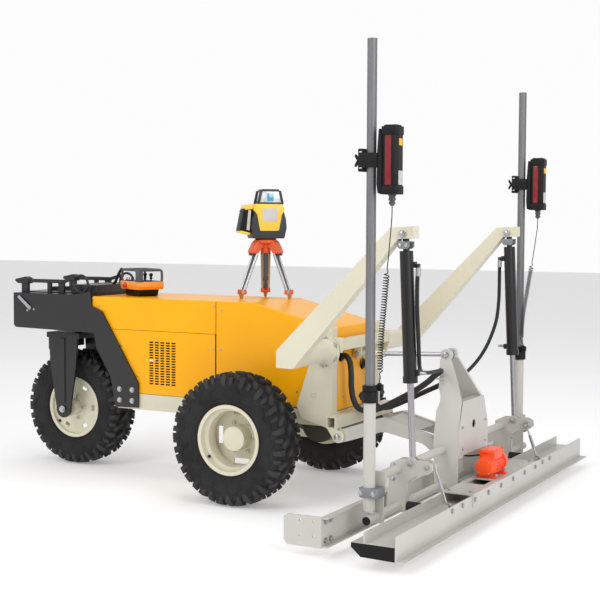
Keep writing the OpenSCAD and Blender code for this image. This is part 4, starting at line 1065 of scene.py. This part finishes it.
def make_vibrator():
    at = Vector((1100, 0, 218))
    bm = bmesh.new()
    add_lathe(bm, [(0, -84), (40, -84), (40, 84), (0, 84)], at, OUT, 64)
    for k in range(FINS):
        a = math.radians(-58 + 296 * k / (FINS - 1))
        fin = bmesh.new()
        add_box(fin, (36, -62, -1.3), (46.5, 62, 1.3), 0.8)
        spin = Matrix.Translation(at) @ Matrix.Rotation(-a, 4, "Y")
        bmesh.ops.transform(fin, matrix=spin, verts=fin.verts)
        merge(bm, fin)
    for side in (-1, 1):
        add_lathe(bm, [(0, 66), (47, 66), (48, 68), (48, 78), (45, 82), (43, 84), (43, 106),
                       (40, 112), (34, 114), (0, 114.5)], at, (0, side, 0), 64)
        add_prism(bm, [(1050, 163), (1150, 163), (1150, 170), (1146, 175), (1130, 176),
                       (1122, 196), (1078, 196), (1070, 176), (1054, 175), (1050, 170)],
                  side * 62 - 15, side * 62 + 15, 3)
    # Junction box with its lid
    add_prism(bm, [(1066, 240), (1134, 240), (1136, 276), (1064, 276)], -68, 48, 4)
    add_prism(bm, [(1060, 277), (1140, 277), (1138, 287), (1130, 292), (1070, 292),
                   (1062, 287)], -76, 56, 4)
    for x, y in LID_CORNERS:
        add_lathe(bm, [(0, 272), (6, 272), (6, 292.5), (0, 293)], (x, y, 0), segments=16)
    piece("vibrator_case", bm, RED_ORANGE, "screed", ("vibrator",))
    bm = bmesh.new()
    for side in (-1, 1):
        for x in (1058, 1142):
            add_bolt(bm, (x, side * 62, 175.5), UP, 10)
        for x, z in quarters(37):
            add_screw(bm, at + Vector((x, side * 113.4, z)), (0, side, 0), 2.6)
    for x, y in LID_CORNERS:
        add_screw(bm, (x, y, 292.8), UP, 3.2)
    piece("vibrator_bolts", bm, STEEL, "screed")
    bm = bmesh.new()
    add_lathe(bm, [(0, 0), (9, 0), (9, 6), (7, 8), (7, 13), (5, 16), (0, 16)],
              (1068, -20, 258), (-1, 0, 0), 24)
    piece("cable_gland", bm, BLACK_PLASTIC, "screed")


make_vibrator()

# -------- small parts


def add_mirrored_bolts(name, body, *groups):
    """Bolts on the near side and their mirror images; a group is an axis, a size and places."""
    bm = bmesh.new()
    for side in (1, -1):
        for (a, b, c), size, places in groups:
            for x, y, z in places:
                add_bolt(bm, (x, side * y, z), (a, side * b, c), size)
    piece(name, bm, STEEL, body)


PIPE_X, LOWER_PIPE_Z, UPPER_PIPE_Z = 925, 133, 296


def make_head_details():
    pan = [(979, 111), (979, 94), (1020, 58.5), (1163, 55.5), (1163, 111)]
    bm = bmesh.new()
    for side in (-1, 1):
        add_prism(bm, pan, side * 1252, side * 1249.6, 0.5)
        add_lathe(bm, [(0, 6), (15, 6), (18.4, 4), (18.8, 0), (14.6, 0), (14.6, -10)],
                  (PIPE_X, side * 996, LOWER_PIPE_Z), (0, side, 0), 40)
    piece("pan_end_caps", bm, BLACK_PLASTIC, "screed")
    add_mirrored_bolts(
        "head_bolts", "head", (FRONT, 11, [(811, y, z) for y in (-1140, -1096) for z in (72, 148)]),
        (OUT, 16, [(882, -48, 720)]), (FRONT, 5, [(1012, -150, 300), (1012, -150, 400)]),
        (OUT, 13, [(984, -695, 323)]), (IN, 13, [(984, -635, 323)]), (OUT, 10, [(1060, -691, 310)]),
        (OUT, 9, [(905, -691, 310), (905, -691, 250)]))
    cover = [(1176, y, 138) for y in (-85, -255, -425)]
    flange = [(1170, y, 138) for y in (-560, -680)]
    corners = [(x, -410, 163) for x in (1050, 1150)]
    add_mirrored_bolts("plate_bolts", "screed", (FRONT, 11, cover + flange), (UP, 8, corners))
    bm = bmesh.new()
    for side in (-1, 1):
        for y in (178, 192, 638, 692):
            for z in (LOWER_PIPE_Z, UPPER_PIPE_Z):
                add_weld(bm, (PIPE_X, side * y, z), IN, 20.5, 2.8)
        add_weld(bm, (PIPE_X, side * 895, LOWER_PIPE_Z), IN, 20.5, 2.8)
    piece("pipe_welds", bm, PALE, "head")


make_head_details()


def make_lift_details():
    hub = Vector((364, 0, 730))
    flange = [hub + wheel_point(math.radians(a), -286, 66) for a in range(30, 331, 60)]
    add_mirrored_bolts(
        "lift_bolts", "root", (OUT, 9, flange + [(928, -690, 1246), (956, -690, 1246)]),
        (OUT, 15, [(942, -703, 1292), (457, -336, 337)]), (IN, 15, [(942, -627, 1292)]),
        (OUT, 14, [(409, -38, 700)]))
    bm = bmesh.new()
    for side in (-1, 1):
        for y in (side * 690, side * 640):
            add_prism(bm, [(914, 1262), (914, 1240), (924, 1230), (960, 1230), (970, 1240),
                           (970, 1262)], y - 3, y + 3, 1.5)
    piece("cylinder_clevises", bm, ZINC, "root")
    bm = bmesh.new()
    for x, y in ((1000, -665), (893, 665)):
        add_rod(bm, (x, y, 1116), (x + 0.6, y, 1152), 11, 24)
        add_rod(bm, (x + 0.6, y, 1152), (x + 1, y, 1166), 9, 6)
    for x, y, toward in ((1010, -665, 1), (922, 665, -1)):
        add_rod(bm, (x, y, 706), (x + toward * 22, y, 706), 8, 6)
        add_rod(bm, (x + toward * 20, y, 706), (x + toward * 30, y, 706), 6, 20)
    piece("port_fittings", bm, STEEL, "root")


make_lift_details()


def make_rear_details():
    corners = [(x, -262, z) for x in (-855, -775) for z in (469, 412)]
    add_mirrored_bolts("side_plate_bolts", "root", (OUT, 13, corners))
    bm = bmesh.new()
    for at in ((-1453, -275, 876), (-1430, -262, 868), (-1474, -262, 860)):
        add_screw(bm, at, OUT, 4.5)
    piece("latch_screws", bm, STEEL, "root")
    add_mirrored_bolts("axle_bolts", "fork", (OUT, 17, [(REAR_X, -173, TYRE_R)]))
    bm = bmesh.new()
    for k in range(5):
        at = Vector((REAR_X, 0, TYRE_R)) + wheel_point(math.radians(72 * k), -70, 64)
        add_bolt(bm, at, OUT, 9, False)
    piece("rear_wheel_bolts", bm, STEEL, "rear_wheel")


make_rear_details()

# -------- studio


def make_studio():
    world = bpy.data.worlds.new("studio")
    bpy.context.scene.world = world
    world.use_nodes = True
    tree = world.node_tree
    back = tree.nodes["Background"]
    back.inputs["Strength"].default_value = 1.0
    # White walls that darken towards the ceiling
    split = tree.nodes.new("ShaderNodeSeparateXYZ")
    tree.links.new(tree.nodes.new("ShaderNodeTexCoord").outputs["Generated"],
                   split.inputs["Vector"])
    ramp = tree.nodes.new("ShaderNodeValToRGB")
    low, high = ramp.color_ramp.elements
    low.position, low.color = 0.25, (0.98, 0.98, 0.98, 1)
    high.position, high.color = 0.75, (0.40, 0.40, 0.41, 1)
    tree.links.new(split.outputs["Z"], ramp.inputs["Fac"])
    tree.links.new(ramp.outputs["Color"], back.inputs["Color"])
    bm = bmesh.new()
    bmesh.ops.create_grid(bm, x_segments=2, y_segments=2, size=30)
    mesh = bpy.data.meshes.new("floor")
    bm.to_mesh(mesh)
    bm.free()
    floor = add_object("floor", mesh)
    s = Shader("studio_floor", 0.9, Emission_Color=(1, 1, 1, 1), Emission_Strength=0.22)
    s.colour(s.ramp(s.noise(1.5, 2), [(0.3, (0.90, 0.90, 0.90)), (0.7, (0.93, 0.93, 0.93))]))
    mesh.materials.append(s.material)
    for name, at, target, size, power in (
            ("key", (-1.5, -6.5, 5.5), (0, 0, 0.5), 3.0, 150),
            ("top", (0.5, 0.0, 6.5), (0, 0, 0), 5.0, 110),
            ("front", (6.0, -3.0, 3.0), (0.8, 0, 0.6), 3.0, 110)):
        data = bpy.data.lights.new(name, "AREA")
        data.shape = "SQUARE"
        data.size = size
        data.energy = power
        lamp = add_object(name, data)
        lamp.location = at
        aim = Vector(target) - Vector(at)
        lamp.rotation_euler = aim.to_track_quat("-Z", "Y").to_euler()
    bpy.context.scene.view_settings.view_transform = "Standard"


make_studio()
